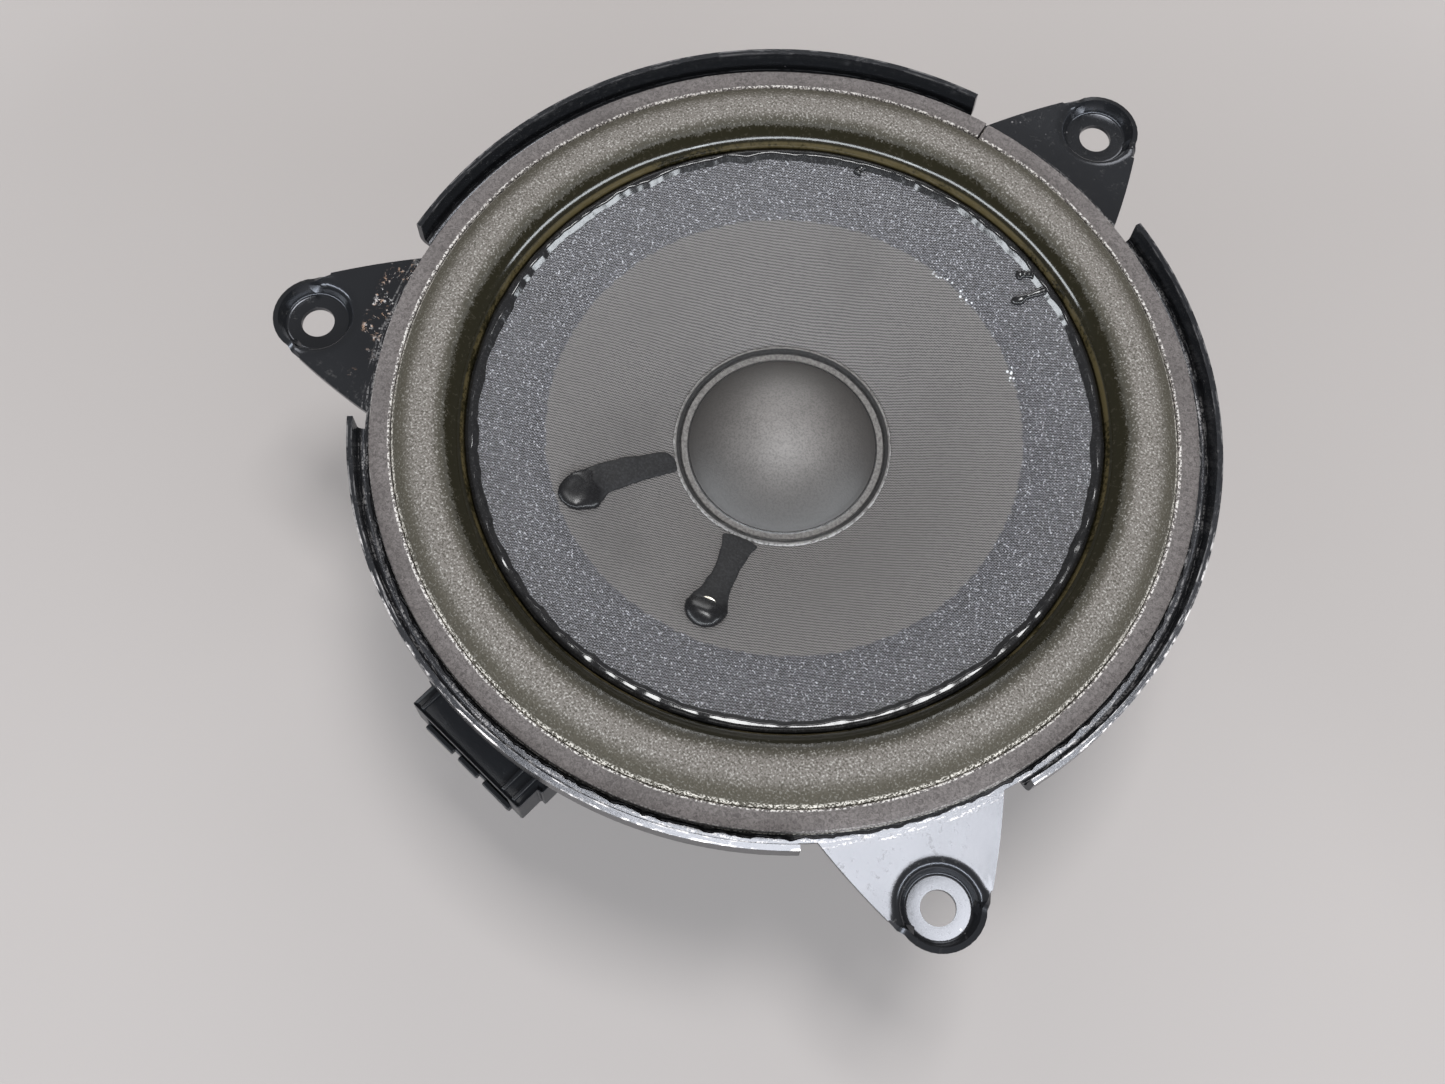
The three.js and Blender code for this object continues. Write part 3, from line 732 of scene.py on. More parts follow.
@dataclass(frozen=True)
class BlackGlue(Finish):
    """Black contact adhesive, set glossy, with dust in it."""

    name: str = "black_glue"
    base: Colour = (0.01, 0.01, 0.011)
    dust: Colour = (0.07, 0.07, 0.072)
    roughness: float = 0.12
    dusty: float = 0.3

    def paint(self, s: Shader) -> None:
        """Build the adhesive.

        Args:
            s: The shader.
        """
        specks = s.grain(0.6, 4, 0.7).step(0.5, 0.72)
        lumps = s.grain(1.8, 3, 0.6)
        colour = s.mix(self.base, self.dust, specks * self.dusty + lumps * self.dusty * 0.4)
        s.dress(
            Base_Color=colour,
            Roughness=self.roughness + specks * self.dusty * 0.3,
            Specular_IOR_Level=0.6,
            Normal=s.raised(lumps, 0.06, 0.4),
        )


@dataclass(frozen=True)
class RingGlue(Finish):
    """Grey-brown glue ring whose two edges stand up and shine; its dark outer band is glossy glue
    and painted shadow, and its outermost edge is a painted highlight.
    """

    name: str = "cap_ring_glue"
    base: Colour = (0.2, 0.19, 0.183)
    dark: Colour = (0.08, 0.075, 0.071)
    gloss: Colour = (0.02, 0.02, 0.021)
    pale: Colour = (0.5, 0.49, 0.485)
    inner: float = 18.6
    outer: float = 20.9

    def paint(self, s: Shader) -> None:
        """Build the ring's finish.

        Args:
            s: The shader.
        """
        radius, *_ = s.spread()
        fuzz = s.grain(0.6, 4, 0.7)
        inner_edge = radius.band(self.inner - 0.3, self.inner + 0.12, 0.12)
        # Near-black glossy band inside the outer edge: glossy glue and a painted shadow line.
        outer_gloss_and_shadow = radius.band(self.outer - 0.8, self.outer, 0.2)
        # Painted highlight: a pale broken line, in the pale colour, along the ring's outermost
        # edge.
        painted_edge_light = radius.step(self.outer + 0.25, self.outer + 0.45) * fuzz.step(0.4, 0.54)
        edges = inner_edge.most(outer_gloss_and_shadow)
        colour = s.mix(self.dark, self.base, fuzz.step(0.3, 0.65))
        colour = s.mix(colour, self.gloss, edges * 0.9)
        colour = s.mix(colour, self.pale, painted_edge_light * 0.6)
        s.dress(
            Base_Color=colour,
            Roughness=edges.between(0.6, 0.14),
            Normal=s.raised(fuzz, 0.05, 0.6),
        )


@dataclass(frozen=True)
class Film(Finish):
    """Amber film of the coil former."""

    name: str = "former_film"
    base: Colour = (0.3, 0.15, 0.045)
    streak: Colour = (0.14, 0.06, 0.02)

    def paint(self, s: Shader) -> None:
        """Build the film.

        Args:
            s: The shader.
        """
        streaks = s.grain(3, 3)
        colour = s.mix(self.base, self.streak, streaks.step(0.4, 0.8))
        s.dress(Base_Color=colour, Roughness=0.25 + streaks * 0.1)


@dataclass(frozen=True)
class CopperWinding(Finish):
    """Close turns of enamelled copper wire."""

    name: str = "copper_winding"
    base: Colour = (0.55, 0.2, 0.07)
    dark: Colour = (0.2, 0.06, 0.02)
    pitch: float = 0.24

    def paint(self, s: Shader) -> None:
        """Build the winding.

        Args:
            s: The shader.
        """
        _, _, z = s.axes(s.place())
        turns = (z * (math.pi / self.pitch)).sine().size()
        colour = s.mix(self.dark, self.base, turns)
        s.dress(
            Base_Color=colour,
            Roughness=0.28,
            Metallic=0.9,
            Normal=s.raised(turns, 0.1, 0.9),
        )


@dataclass(frozen=True)
class DippedCotton(Finish):
    """Open-weave cotton stiffened with amber resin."""

    name: str = "dipped_cotton"
    base: Colour = (0.5, 0.33, 0.14)
    gap: Colour = (0.16, 0.09, 0.03)
    pitch: float = 0.8

    def paint(self, s: Shader) -> None:
        """Build the cloth.

        Args:
            s: The shader.
        """
        x, y, _ = s.axes(s.place())
        warp = (x * (math.pi / self.pitch)).sine().size()
        weft = (y * (math.pi / self.pitch)).sine().size()
        threads = warp.most(weft)
        fuzz = s.grain(0.4, 3)
        colour = s.mix(self.gap, self.base, threads * 0.75 + fuzz * 0.25)
        s.dress(
            Base_Color=colour,
            Roughness=0.6 + fuzz * 0.2,
            Normal=s.raised(threads, 0.15, 0.9),
        )


@dataclass(frozen=True)
class MouldedPlastic(Finish):
    """Black glass-filled moulding with a faint flow grain."""

    name: str = "moulded_plastic"
    base: Colour = (0.014, 0.015, 0.018)
    scuffed: Colour = (0.05, 0.052, 0.056)

    def paint(self, s: Shader) -> None:
        """Build the moulding.

        Args:
            s: The shader.
        """
        spark = s.grain(0.22, 2)
        flow = s.grain(9, 3, 0.6, Distortion=1.0)
        scuffs = s.grain(1.2, 4, 0.7).step(0.62, 0.72)
        colour = s.mix(self.base, self.scuffed, scuffs * 0.6 + flow * 0.1)
        s.dress(
            Base_Color=colour,
            Roughness=0.3 + flow * 0.14 + scuffs * 0.15,
            Normal=s.raised(spark, 0.03, 0.6),
        )


@dataclass(frozen=True)
class TinnedBrass(Finish):
    """Tinned brass of the contacts, eyelets and solder."""

    name: str = "tinned_brass"
    base: Colour = (0.66, 0.63, 0.56)
    tarnished: Colour = (0.4, 0.33, 0.22)

    def paint(self, s: Shader) -> None:
        """Build the tinning.

        Args:
            s: The shader.
        """
        tarnish = s.grain(1.6, 4, 0.65)
        colour = s.mix(self.base, self.tarnished, tarnish.step(0.5, 0.75))
        s.dress(
            Base_Color=colour,
            Roughness=0.24 + tarnish * 0.2,
            Metallic=1.0,
            Normal=s.raised(tarnish, 0.03, 0.4),
        )


@dataclass(frozen=True)
class TinselBraid(Finish):
    """Braided copper tinsel round a cotton core."""

    name: str = "tinsel_braid"
    base: Colour = (0.5, 0.36, 0.22)
    dark: Colour = (0.14, 0.08, 0.04)
    pitch: float = 0.9

    def paint(self, s: Shader) -> None:
        """Build the braid.

        Args:
            s: The shader.
        """
        x, y, z = s.axes(s.place())
        first = ((x + y * 0.8 + z) * (FULL_TURN / self.pitch)).sine()
        second = ((x - y * 0.8 - z) * (FULL_TURN / self.pitch)).sine()
        strands = (first * second) * 0.5 + 0.5
        colour = s.mix(self.dark, self.base, strands.step(0.2, 0.7))
        s.dress(
            Base_Color=colour,
            Roughness=0.42,
            Metallic=0.7,
            Normal=s.raised(strands, 0.14, 0.9),
        )


@dataclass(frozen=True)
class StudioFloor(Finish):
    """Plain pale floor."""

    name: str = "studio_floor"
    base: Colour = (0.415, 0.386, 0.375)

    def paint(self, s: Shader) -> None:
        """Build the floor's finish.

        Args:
            s: The shader.
        """
        tone = s.grain(180, 2)
        lighter = tuple(part * 1.04 for part in self.base)
        s.dress(Base_Color=s.mix(self.base, lighter, tone), Roughness=0.75)


# ---------------------------------------------------------------------------
# Drawing helpers
# ---------------------------------------------------------------------------


class Edge(Enum):
    """How an outline ends when it is spun."""

    CLOSED = "closed"
    OPEN = "open"


def reach(node: str) -> float:
    """How far a CAD node reaches from the axis along X, in millimetres."""
    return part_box(node)[1].x / MM


def heights(node: str) -> Point:
    """Lowest and highest Z of a CAD node, in millimetres."""
    low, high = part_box(node)
    return low.z / MM, high.z / MM


def rounded(corners: Sequence[Corner], closed: bool, steps: int = 4) -> Outline:
    """Round the corners of an outline.

    Args:
        corners: Each corner's radius from the axis, its height, and its rounding.
        closed: Whether the last corner joins the first.
        steps: Segments in each rounded corner.

    Returns:
        The points of the rounded outline.
    """
    points = [Vector(c[:2]) for c in corners]
    count = len(points)
    ends = () if closed else (0, count - 1)
    drawn: Outline = []
    for i, (here, corner) in enumerate(zip(points, corners)):
        if i in ends or corner[2] <= 0:
            drawn.append(tuple(here))
            continue
        before, after = points[i - 1] - here, points[(i + 1) % count] - here
        half = before.angle(after) / 2
        room = before.length * (0.98 if i - 1 in ends else 0.49)
        room = min(room, after.length * (0.98 if i + 1 in ends else 0.49))
        run = min(corner[2] / math.tan(half), room)
        start, end = here + before.normalized() * run, here + after.normalized() * run
        for k in range(steps + 1):
            t = k / steps
            drawn.append(tuple(start * (1 - t) ** 2 + here * (2 * t * (1 - t)) + end * t * t))
    return drawn


def filled(outline: Outline, longest: float) -> Outline:
    """Add points so that no step of an open outline is longer than a length.

    Args:
        outline: The points.
        longest: The longest step, in millimetres.

    Returns:
        The outline with its added points.
    """
    drawn = [outline[0]]
    for start, end in zip(outline, outline[1:]):
        parts = max(1, math.ceil(math.dist(start, end) / longest))
        for k in range(1, parts + 1):
            t = k / parts
            drawn.append((start[0] + (end[0] - start[0]) * t, start[1] + (end[1] - start[1]) * t))
    return drawn


def spun(
    mesh: bmesh.types.BMesh,
    outline: Outline,
    steps: int,
    edge: Edge = Edge.CLOSED,
    centre: Point = (0.0, 0.0),
    start: float = 0.0,
    sweep: float = FULL_TURN,
) -> None:
    """Spin an outline about an upright axis.

    Args:
        mesh: The mesh that takes the result.
        outline: Radius and height of each point.
        steps: Segments round the axis.
        edge: Whether the outline closes on itself.
        centre: Where the axis stands.
        start: The angle at which the outline begins, in radians.
        sweep: How far it turns.
    """
    verts = []
    for radius, height in outline:
        spot = (centre[0] + radius * math.cos(start), centre[1] + radius * math.sin(start), height)
        verts.append(mesh.verts.new(spot))
    pairs = list(zip(verts, verts[1:]))
    on_axis = outline[0][0] < 1e-6 and outline[-1][0] < 1e-6
    if edge is Edge.CLOSED and not on_axis:
        pairs.append((verts[-1], verts[0]))
    edges = [mesh.edges.new(pair) for pair in pairs]
    bmesh.ops.spin(
        mesh,
        geom=verts + edges,
        cent=(*centre, 0.0),
        axis=(0, 0, 1),
        dvec=(0, 0, 0),
        angle=sweep,
        steps=steps,
        use_merge=abs(sweep - FULL_TURN) < 1e-6,
        use_duplicate=False,
    )
    bmesh.ops.remove_doubles(mesh, verts=mesh.verts[:], dist=1e-5)


def finished(
    mesh: bmesh.types.BMesh,
    name: str,
    material: bpy.types.Material,
    outward: bool = True,
    sharp: float = 38.0,
) -> bpy.types.Object:
    """Turn a drawing in millimetres into a piece in metres.

    Args:
        mesh: The drawing, which is used up.
        name: The piece's name.
        material: Its finish.
        outward: Whether its faces are turned outwards first.
        sharp: Edges bent more than this many degrees stay crisp.

    Returns:
        The piece.
    """
    if outward:
        bmesh.ops.recalc_face_normals(mesh, faces=mesh.faces[:])
    for face in mesh.faces:
        face.smooth = True
    for edge in mesh.edges:
        if len(edge.link_faces) == 2:
            edge.smooth = edge.calc_face_angle(0.0) < math.radians(sharp)
    mesh.transform(Matrix.Scale(MM, 4))
    data = bpy.data.meshes.new(name)
    mesh.to_mesh(data)
    mesh.free()
    data.materials.append(material)
    piece = bpy.data.objects.new(name, data)
    bpy.context.scene.collection.objects.link(piece)
    return piece


def settled(piece: bpy.types.Object, body: Body, slot: Slot, *nodes: str) -> bpy.types.Object:
    """Put a piece on its body, in place of its CAD nodes.

    Args:
        piece: The piece.
        body: The body that it moves with.
        slot: A material slot; not used.
        nodes: The CAD nodes that it stands for.

    Returns:
        The piece.
    """
    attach(piece, body.value)
    if nodes:
        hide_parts(*nodes)
    LOG.info("%s rides on %s", piece.name, body.value)
    return piece


def lathe(
    name: str,
    corners: Sequence[Corner],
    material: bpy.types.Material,
    steps: int = 128,
    centre: Point = (0.0, 0.0),
) -> bpy.types.Object:
    """Make a round piece from a closed outline with rounded corners.

    Args:
        name: The piece's name.
        corners: Radius, height and rounding of each corner.
        material: Its finish.
        steps: Segments round its axis.
        centre: Where its axis stands.

    Returns:
        The piece.
    """
    on_axis = corners[0][0] == 0 and corners[-1][0] == 0
    outline = rounded(corners, closed=not on_axis)
    mesh = bmesh.new()
    spun(mesh, outline, steps, centre=centre)
    return finished(mesh, name, material)


def angle_of(spot: Vector) -> float:
    """Angle of a point about the axis, from 0 to 360 degrees."""
    return math.degrees(math.atan2(spot.y, spot.x)) % 360


def off_angle(angle: float, middle: float) -> float:
    """Signed difference between two angles in degrees, from -180 to 180."""
    return (angle - middle + 180) % 360 - 180


def eased(share: float) -> float:
    """Share held from 0 to 1 and smoothed at both ends."""
    held = min(1.0, max(0.0, share))
    return held * held * (3 - 2 * held)


def on_circle(radius: float, degrees: float) -> Point:
    """Point at a radius and an angle about the axis."""
    turn = math.radians(degrees)
    return radius * math.cos(turn), radius * math.sin(turn)


def rides_by_radius(piece: bpy.types.Object, outer: float, inner: float) -> None:
    """Bake a ring's placement; its share by radius, from the basket at its outer edge to the cone
    at its inner edge, is worked out but not applied.

    Args:
        piece: The ring, which has no parent.
        outer: Radius where the share is 0, in millimetres.
        inner: Radius where the share is 1.
    """
    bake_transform(piece)
    for vertex in piece.data.vertices:
        radius = math.hypot(vertex.co.x, vertex.co.y) / MM
        eased((outer - radius) / (outer - inner))


def bending(piece: bpy.types.Object, node: str) -> None:
    """Hide the CAD node of a piece that lies between the bodies, and log it.

    Args:
        piece: The piece.
        node: The CAD node that it stands for.
    """
    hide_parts(node)
    LOG.info("%s bends between the basket and the cone", piece.name)


def walled(front: Outline, thickness: float) -> Outline:
    """Give an open outline a wall behind it.

    Args:
        front: Its front, drawn so that the wall lies to the right of its direction.
        thickness: The wall's thickness.

    Returns:
        A closed outline.
    """
    back: Outline = []
    for i, (radius, height) in enumerate(front):
        before, after = front[max(i - 1, 0)], front[min(i + 1, len(front) - 1)]
        run = Vector((after[0] - before[0], after[1] - before[1])).normalized()
        back.append((radius + run.y * thickness, height - run.x * thickness))
    return list(front) + back[::-1]


def slab(mesh: bmesh.types.BMesh, low: Sequence[float], high: Sequence[float]) -> None:
    """Add a box between two corners.

    Args:
        mesh: The mesh that takes it.
        low: Its lowest corner.
        high: Its highest corner.
    """
    middle = [(a + b) / 2 for a, b in zip(low, high)]
    sizes = [b - a for a, b in zip(low, high)]
    place = Matrix.Translation(middle) @ Matrix.Diagonal((*sizes, 1.0))
    bmesh.ops.create_cube(mesh, size=1.0, matrix=place)


def bevelled(piece: bpy.types.Object, width: float, segments: int = 2, angle: float = 38.0) -> None:
    """Round a piece's sharp edges with a modifier.

    Args:
        piece: The piece.
        width: The rounding, in millimetres.
        segments: Segments across it.
        angle: Edges bent less than this many degrees stay as they are.
    """
    bevel = piece.modifiers.new("edge_rounding", "BEVEL")
    bevel.width = width * MM
    bevel.segments = segments
    bevel.limit_method = "ANGLE"
    bevel.angle_limit = math.radians(angle)
    bevel.harden_normals = True


Finishes = Mapping[Slot, bpy.types.Material]


# ---------------------------------------------------------------------------
# Basket
# ---------------------------------------------------------------------------


@dataclass
class Basket:
    """Pressed steel basket: seat, spider ledge, legs, flange, rim, cupped ears and tongue."""

    sheet: float = 1.1
    bend: float = 1.6
    ledge_bend: float = 2.5
    leg_bend: float = 2.2
    shell_step: float = 2.1
    rim_step: float = 1.2
    arris: float = 0.24
    seat_bore: float = 17.0
    wall_foot: float = 36.9
    ledge_inner: float = 38.4
    ledge_outer: float = 47.0
    ledge_rise: float = 10.0
    leg_top_radius: float = 66.5
    leg_top_drop: float = 4.2
    flange_inner: float = 67.6
    flange_outer: float = 80.6
    rim_inner: float = 81.9
    rim_rise: float = 5.8
    rim_gap: float = 15.0
    rim_bend: float = 1.25
    steps: int = 288
    windows: int = 6
    window_half: float = 20.0
    window_margin: float = 2.0
    window_round: float = 3.5
    ear_circle: float = 95.0
    ear_base_columns: int = 20
    ear_waist: tuple[float, float] = (87.8, 14.2)
    ear_tip_half: float = 9.7
    ear_hole: float = 3.25
    cup_floor: float = 6.2
    cup_rim: float = 9.3
    cup_lip: float = 7.25
    cup_bend: float = 2.6
    cup_depth: float = 3.0
    cup_lip_rise: float = 0.2
    cup_turn: float = 20.0
    cup_foot: float = 0.6
    cup_steps: int = 36
    tongue_half: float = 15.5
    tongue_from: float = 44.0
    tongue_to: float = 73.0
    tongue_sink: float = 0.02

    def __post_init__(self) -> None:
        """Take the heights from the frame."""
        seat_bottom, rim_top = heights("basket")
        self.seat_top = seat_bottom + self.sheet
        self.ledge_top = self.seat_top + self.ledge_rise
        self.flange_top = rim_top - self.rim_rise
        self.rim_top = rim_top
        self.leg_top = self.flange_top - self.leg_top_drop
        self.window_inner = self.ledge_outer + self.window_margin
        self.window_outer = self.leg_top_radius - self.window_margin
        rise = self.leg_top - self.ledge_top
        self.leg_slope = rise / (self.leg_top_radius - self.ledge_outer)

    def build(self, finishes: Finishes) -> None:
        """Make the basket.

        Args:
            finishes: The driver's finishes.
        """
        mesh = bmesh.new()
        self._shell(mesh)
        for angle in EAR_ANGLES:
            self._rim(mesh, angle)
            self._ear(mesh, angle)
        bmesh.ops.remove_doubles(mesh, verts=mesh.verts[:], dist=MERGE)
        self._cut_windows(mesh)
        bmesh.ops.recalc_face_normals(mesh, faces=mesh.faces[:])
        flange = [f for f in mesh.faces if abs(f.calc_center_median().z - self.flange_top) < 0.01]
        if flange[0].normal.z < 0:
            bmesh.ops.reverse_faces(mesh, faces=mesh.faces[:])
        self._tongue(mesh)
        piece = finished(mesh, "pressed_basket", finishes[Slot.PAINT], outward=False)
        wall = piece.modifiers.new("sheet", "SOLIDIFY")
        wall.thickness = self.sheet * MM
        wall.offset = -1
        wall.use_quality_normals = True
        bevelled(piece, self.arris)
        settled(piece, Body.FIXED, Slot.PAINT, "basket")

    def _shell(self, mesh: bmesh.types.BMesh) -> None:
        """Spin the front of the sheet from the seat to the flange.

        Args:
            mesh: The basket's mesh.
        """
        corners = [
            (self.seat_bore, self.seat_top, 0),
            (self.wall_foot, self.seat_top, self.bend),
            (self.ledge_inner, self.ledge_top, self.bend),
            (self.ledge_outer, self.ledge_top, self.ledge_bend),
            (self.leg_top_radius, self.leg_top, self.leg_bend),
            (self.flange_inner, self.flange_top, self.bend),
            (self.flange_outer, self.flange_top, 0),
        ]
        outline = filled(rounded(corners, closed=False), self.shell_step)
        spun(mesh, outline, self.steps, Edge.OPEN)

    def _rim(self, mesh: bmesh.types.BMesh, ear: float) -> None:
        """Spin one stretch of the upturned rim, from this ear to the next.

        Args:
            mesh: The basket's mesh.
            ear: The ear's angle, in degrees.
        """
        corners = [
            (self.flange_outer, self.flange_top, 0),
            (self.rim_inner, self.flange_top, self.rim_bend),
            (self.rim_inner, self.rim_top, 0),
        ]
        outline = filled(rounded(corners, closed=False), self.rim_step)
        stretch = 360 / len(EAR_ANGLES) - 2 * self.rim_gap
        spun(
            mesh,
            outline,
            round(stretch / 360 * self.steps),
            Edge.OPEN,
            start=math.radians(ear + self.rim_gap),
            sweep=math.radians(stretch),
        )

    def _ear(self, mesh: bmesh.types.BMesh, angle: float) -> None:
        """Draw an ear: its cup, and the plate that joins the cup to the flange.

        Args:
            mesh: The basket's mesh.
            angle: The ear's angle, in degrees.
        """
        ear = bmesh.new()
        self._cup(ear)
        self._plate(ear)
        bmesh.ops.remove_doubles(ear, verts=ear.verts[:], dist=MERGE)
        ear.transform(Matrix.Rotation(math.radians(angle), 4, "Z"))
        drawn = bpy.data.meshes.new("ear_drawing")
        ear.to_mesh(drawn)
        ear.free()
        mesh.from_mesh(drawn)
        bpy.data.meshes.remove(drawn)

    def _cup(self, ear: bmesh.types.BMesh) -> None:
        """Spin the cup, then stand its outboard half up as a thin rim.

        Args:
            ear: The ear's mesh.
        """
        floor = self.flange_top - self.cup_depth
        corners = [
            (self.cup_rim, self.flange_top, 0),
            (self.cup_lip, self.flange_top, self.cup_bend),
            (self.cup_floor, floor, 0.8),
            (self.ear_hole, floor, 0),
        ]
        outline = rounded(corners, closed=False, steps=5)
        spun(ear, outline, self.cup_steps, Edge.OPEN, centre=(self.ear_circle, 0.0))
        for vertex in ear.verts:
            out = vertex.co - Vector((self.ear_circle, 0, vertex.co.z))
            radius = out.length
            if radius <= self.cup_floor + self.cup_foot:
                continue
            turn = math.degrees(abs(math.atan2(out.y, out.x)))
            stand = eased((90 - turn) / self.cup_turn)
            share = (radius - self.cup_floor) / (self.cup_rim - self.cup_floor)
            upright = self.cup_floor + (self.cup_lip - self.cup_floor) * share
            top = floor + (self.flange_top + self.cup_lip_rise - floor) * share
            vertex.co += out.normalized() * (upright - radius) * stand
            vertex.co.z += (top - vertex.co.z) * stand

    def _plate(self, ear: bmesh.types.BMesh) -> None:
        """Bridge the flange's edge to the cup's inboard half, with waisted sides.

        Args:
            ear: The ear's mesh.
        """
        count = self.ear_base_columns
        step = FULL_TURN / self.steps
        flange, cup = [], []
        for i in range(count + 1):
            turn = (i - count / 2) * step
            spot = (self.flange_outer * math.cos(turn), self.flange_outer * math.sin(turn))
            flange.append(ear.verts.new((*spot, self.flange_top)))
            if i in (0, count):
                side = -1 if i == 0 else 1
                spot = (self.ear_circle, side * self.ear_tip_half)
            else:
                turn = math.radians(-90 + (i - 1) * 180 / (count - 2))
                spot = (
                    self.ear_circle - self.cup_rim * math.cos(turn),
                    self.cup_rim * math.sin(turn),
                )
            cup.append(ear.verts.new((*spot, self.flange_top)))
        start, end = flange[-1].co.copy(), cup[-1].co.copy()
        edges = [ear.edges.new(pair) for row in (flange, cup) for pair in zip(row, row[1:])]
        bridged = bmesh.ops.bridge_loops(ear, edges=edges)
        across = [e for e in bridged["edges"] if e not in edges]
        bmesh.ops.subdivide_edges(ear, edges=across, cuts=7, use_grid_fill=True)
        self._waist(ear, start, end)

    def _waist(self, ear: bmesh.types.BMesh, start: Vector, end: Vector) -> None:
        """Bow the plate's sides to their real curve.

        Args:
            ear: The ear's mesh.
            start: Where a side leaves the flange.
            end: Where it meets the cup.
        """
        bow = self.ear_waist[1] - (start.y + end.y) / 2
        for vertex in ear.verts:
            spot = vertex.co
            if abs(spot.z - self.flange_top) > 0.01 or spot.x > end.x or spot.x < start.x:
                continue
            t = (spot.x - start.x) / (end.x - start.x)
            side = start.y + (end.y - start.y) * t
            share = min(1.0, abs(spot.y) / side) ** 3
            spot.y += math.copysign(2 * t * (1 - t) * bow * share, spot.y)

    def _opening(self, radius: float, angle: float) -> float:
        """Distance outside the nearest window's rounded outline, negative inside it.

        Args:
            radius: Distance from the axis.
            angle: Angle about the axis, in degrees.

        Returns:
            The distance along the sheet.
        """
        turn = 360 / self.windows
        aside = abs(off_angle(angle, CONNECTOR_ANGLE) % turn)
        aside = min(aside, turn - aside)
        lean = math.hypot(1, self.leg_slope)
        across = math.radians(aside - self.window_half) * radius + self.window_round
        down = max(self.window_inner - radius, radius - self.window_outer) * lean
        down += self.window_round
        outside = math.hypot(max(across, 0), max(down, 0))
        return min(max(across, down), 0) + outside - self.window_round

    def _cut_windows(self, mesh: bmesh.types.BMesh) -> None:
        """Cut the windows between the legs and draw their edges smooth.

        Args:
            mesh: The basket's mesh.
        """
        inside = []
        for face in mesh.faces:
            middle = face.calc_center_median()
            radius = math.hypot(middle.x, middle.y)
            if self.window_inner - 1 < radius < self.window_outer + 1:
                if self._opening(radius, angle_of(middle)) < 0:
                    inside.append(face)
        bmesh.ops.delete(mesh, geom=inside, context="FACES")
        for vertex in mesh.verts:
            radius = math.hypot(vertex.co.x, vertex.co.y)
            if vertex.is_boundary and self.window_inner - 2 < radius < self.window_outer + 2:
                self._draw_in(vertex)

    def _draw_in(self, vertex: bmesh.types.BMVert) -> None:
        """Slide a vertex along the leg to the nearest window's outline.

        Args:
            vertex: A vertex on a window's cut edge.
        """
        radius, angle = math.hypot(vertex.co.x, vertex.co.y), angle_of(vertex.co)
        lean = math.hypot(1, self.leg_slope)
        small, tries = 0.01, 4
        for _ in range(tries):
            gap = self._opening(radius, angle)
            per_radius = (self._opening(radius + small, angle) - gap) / small / lean
            degree = math.radians(1) * radius
            per_angle = (self._opening(radius, angle + small) - gap) / small / degree
            scale = gap / max(per_radius**2 + per_angle**2, 0.2)
            radius -= per_radius * scale / lean
            angle -= per_angle * scale / degree
        x, y = on_circle(radius, angle)
        height = self.ledge_top + (radius - self.ledge_outer) * self.leg_slope
        vertex.co = Vector((x, y, height))

    def _tongue(self, mesh: bmesh.types.BMesh) -> None:
        """Add the flat tongue that carries the connector.

        Args:
            mesh: The basket's mesh.
        """
        middle = -(self.tongue_from + self.tongue_to) / 2
        sizes = (self.tongue_half, (self.tongue_to - self.tongue_from) / 2, 1.0, 1.0)
        place = Matrix.Translation((0, middle, self.ledge_top - self.tongue_sink))
        place = place @ Matrix.Diagonal(sizes)
        bmesh.ops.create_grid(mesh, x_segments=6, y_segments=6, size=1.0, matrix=place)


# ---------------------------------------------------------------------------
# Gasket and surround
# ---------------------------------------------------------------------------


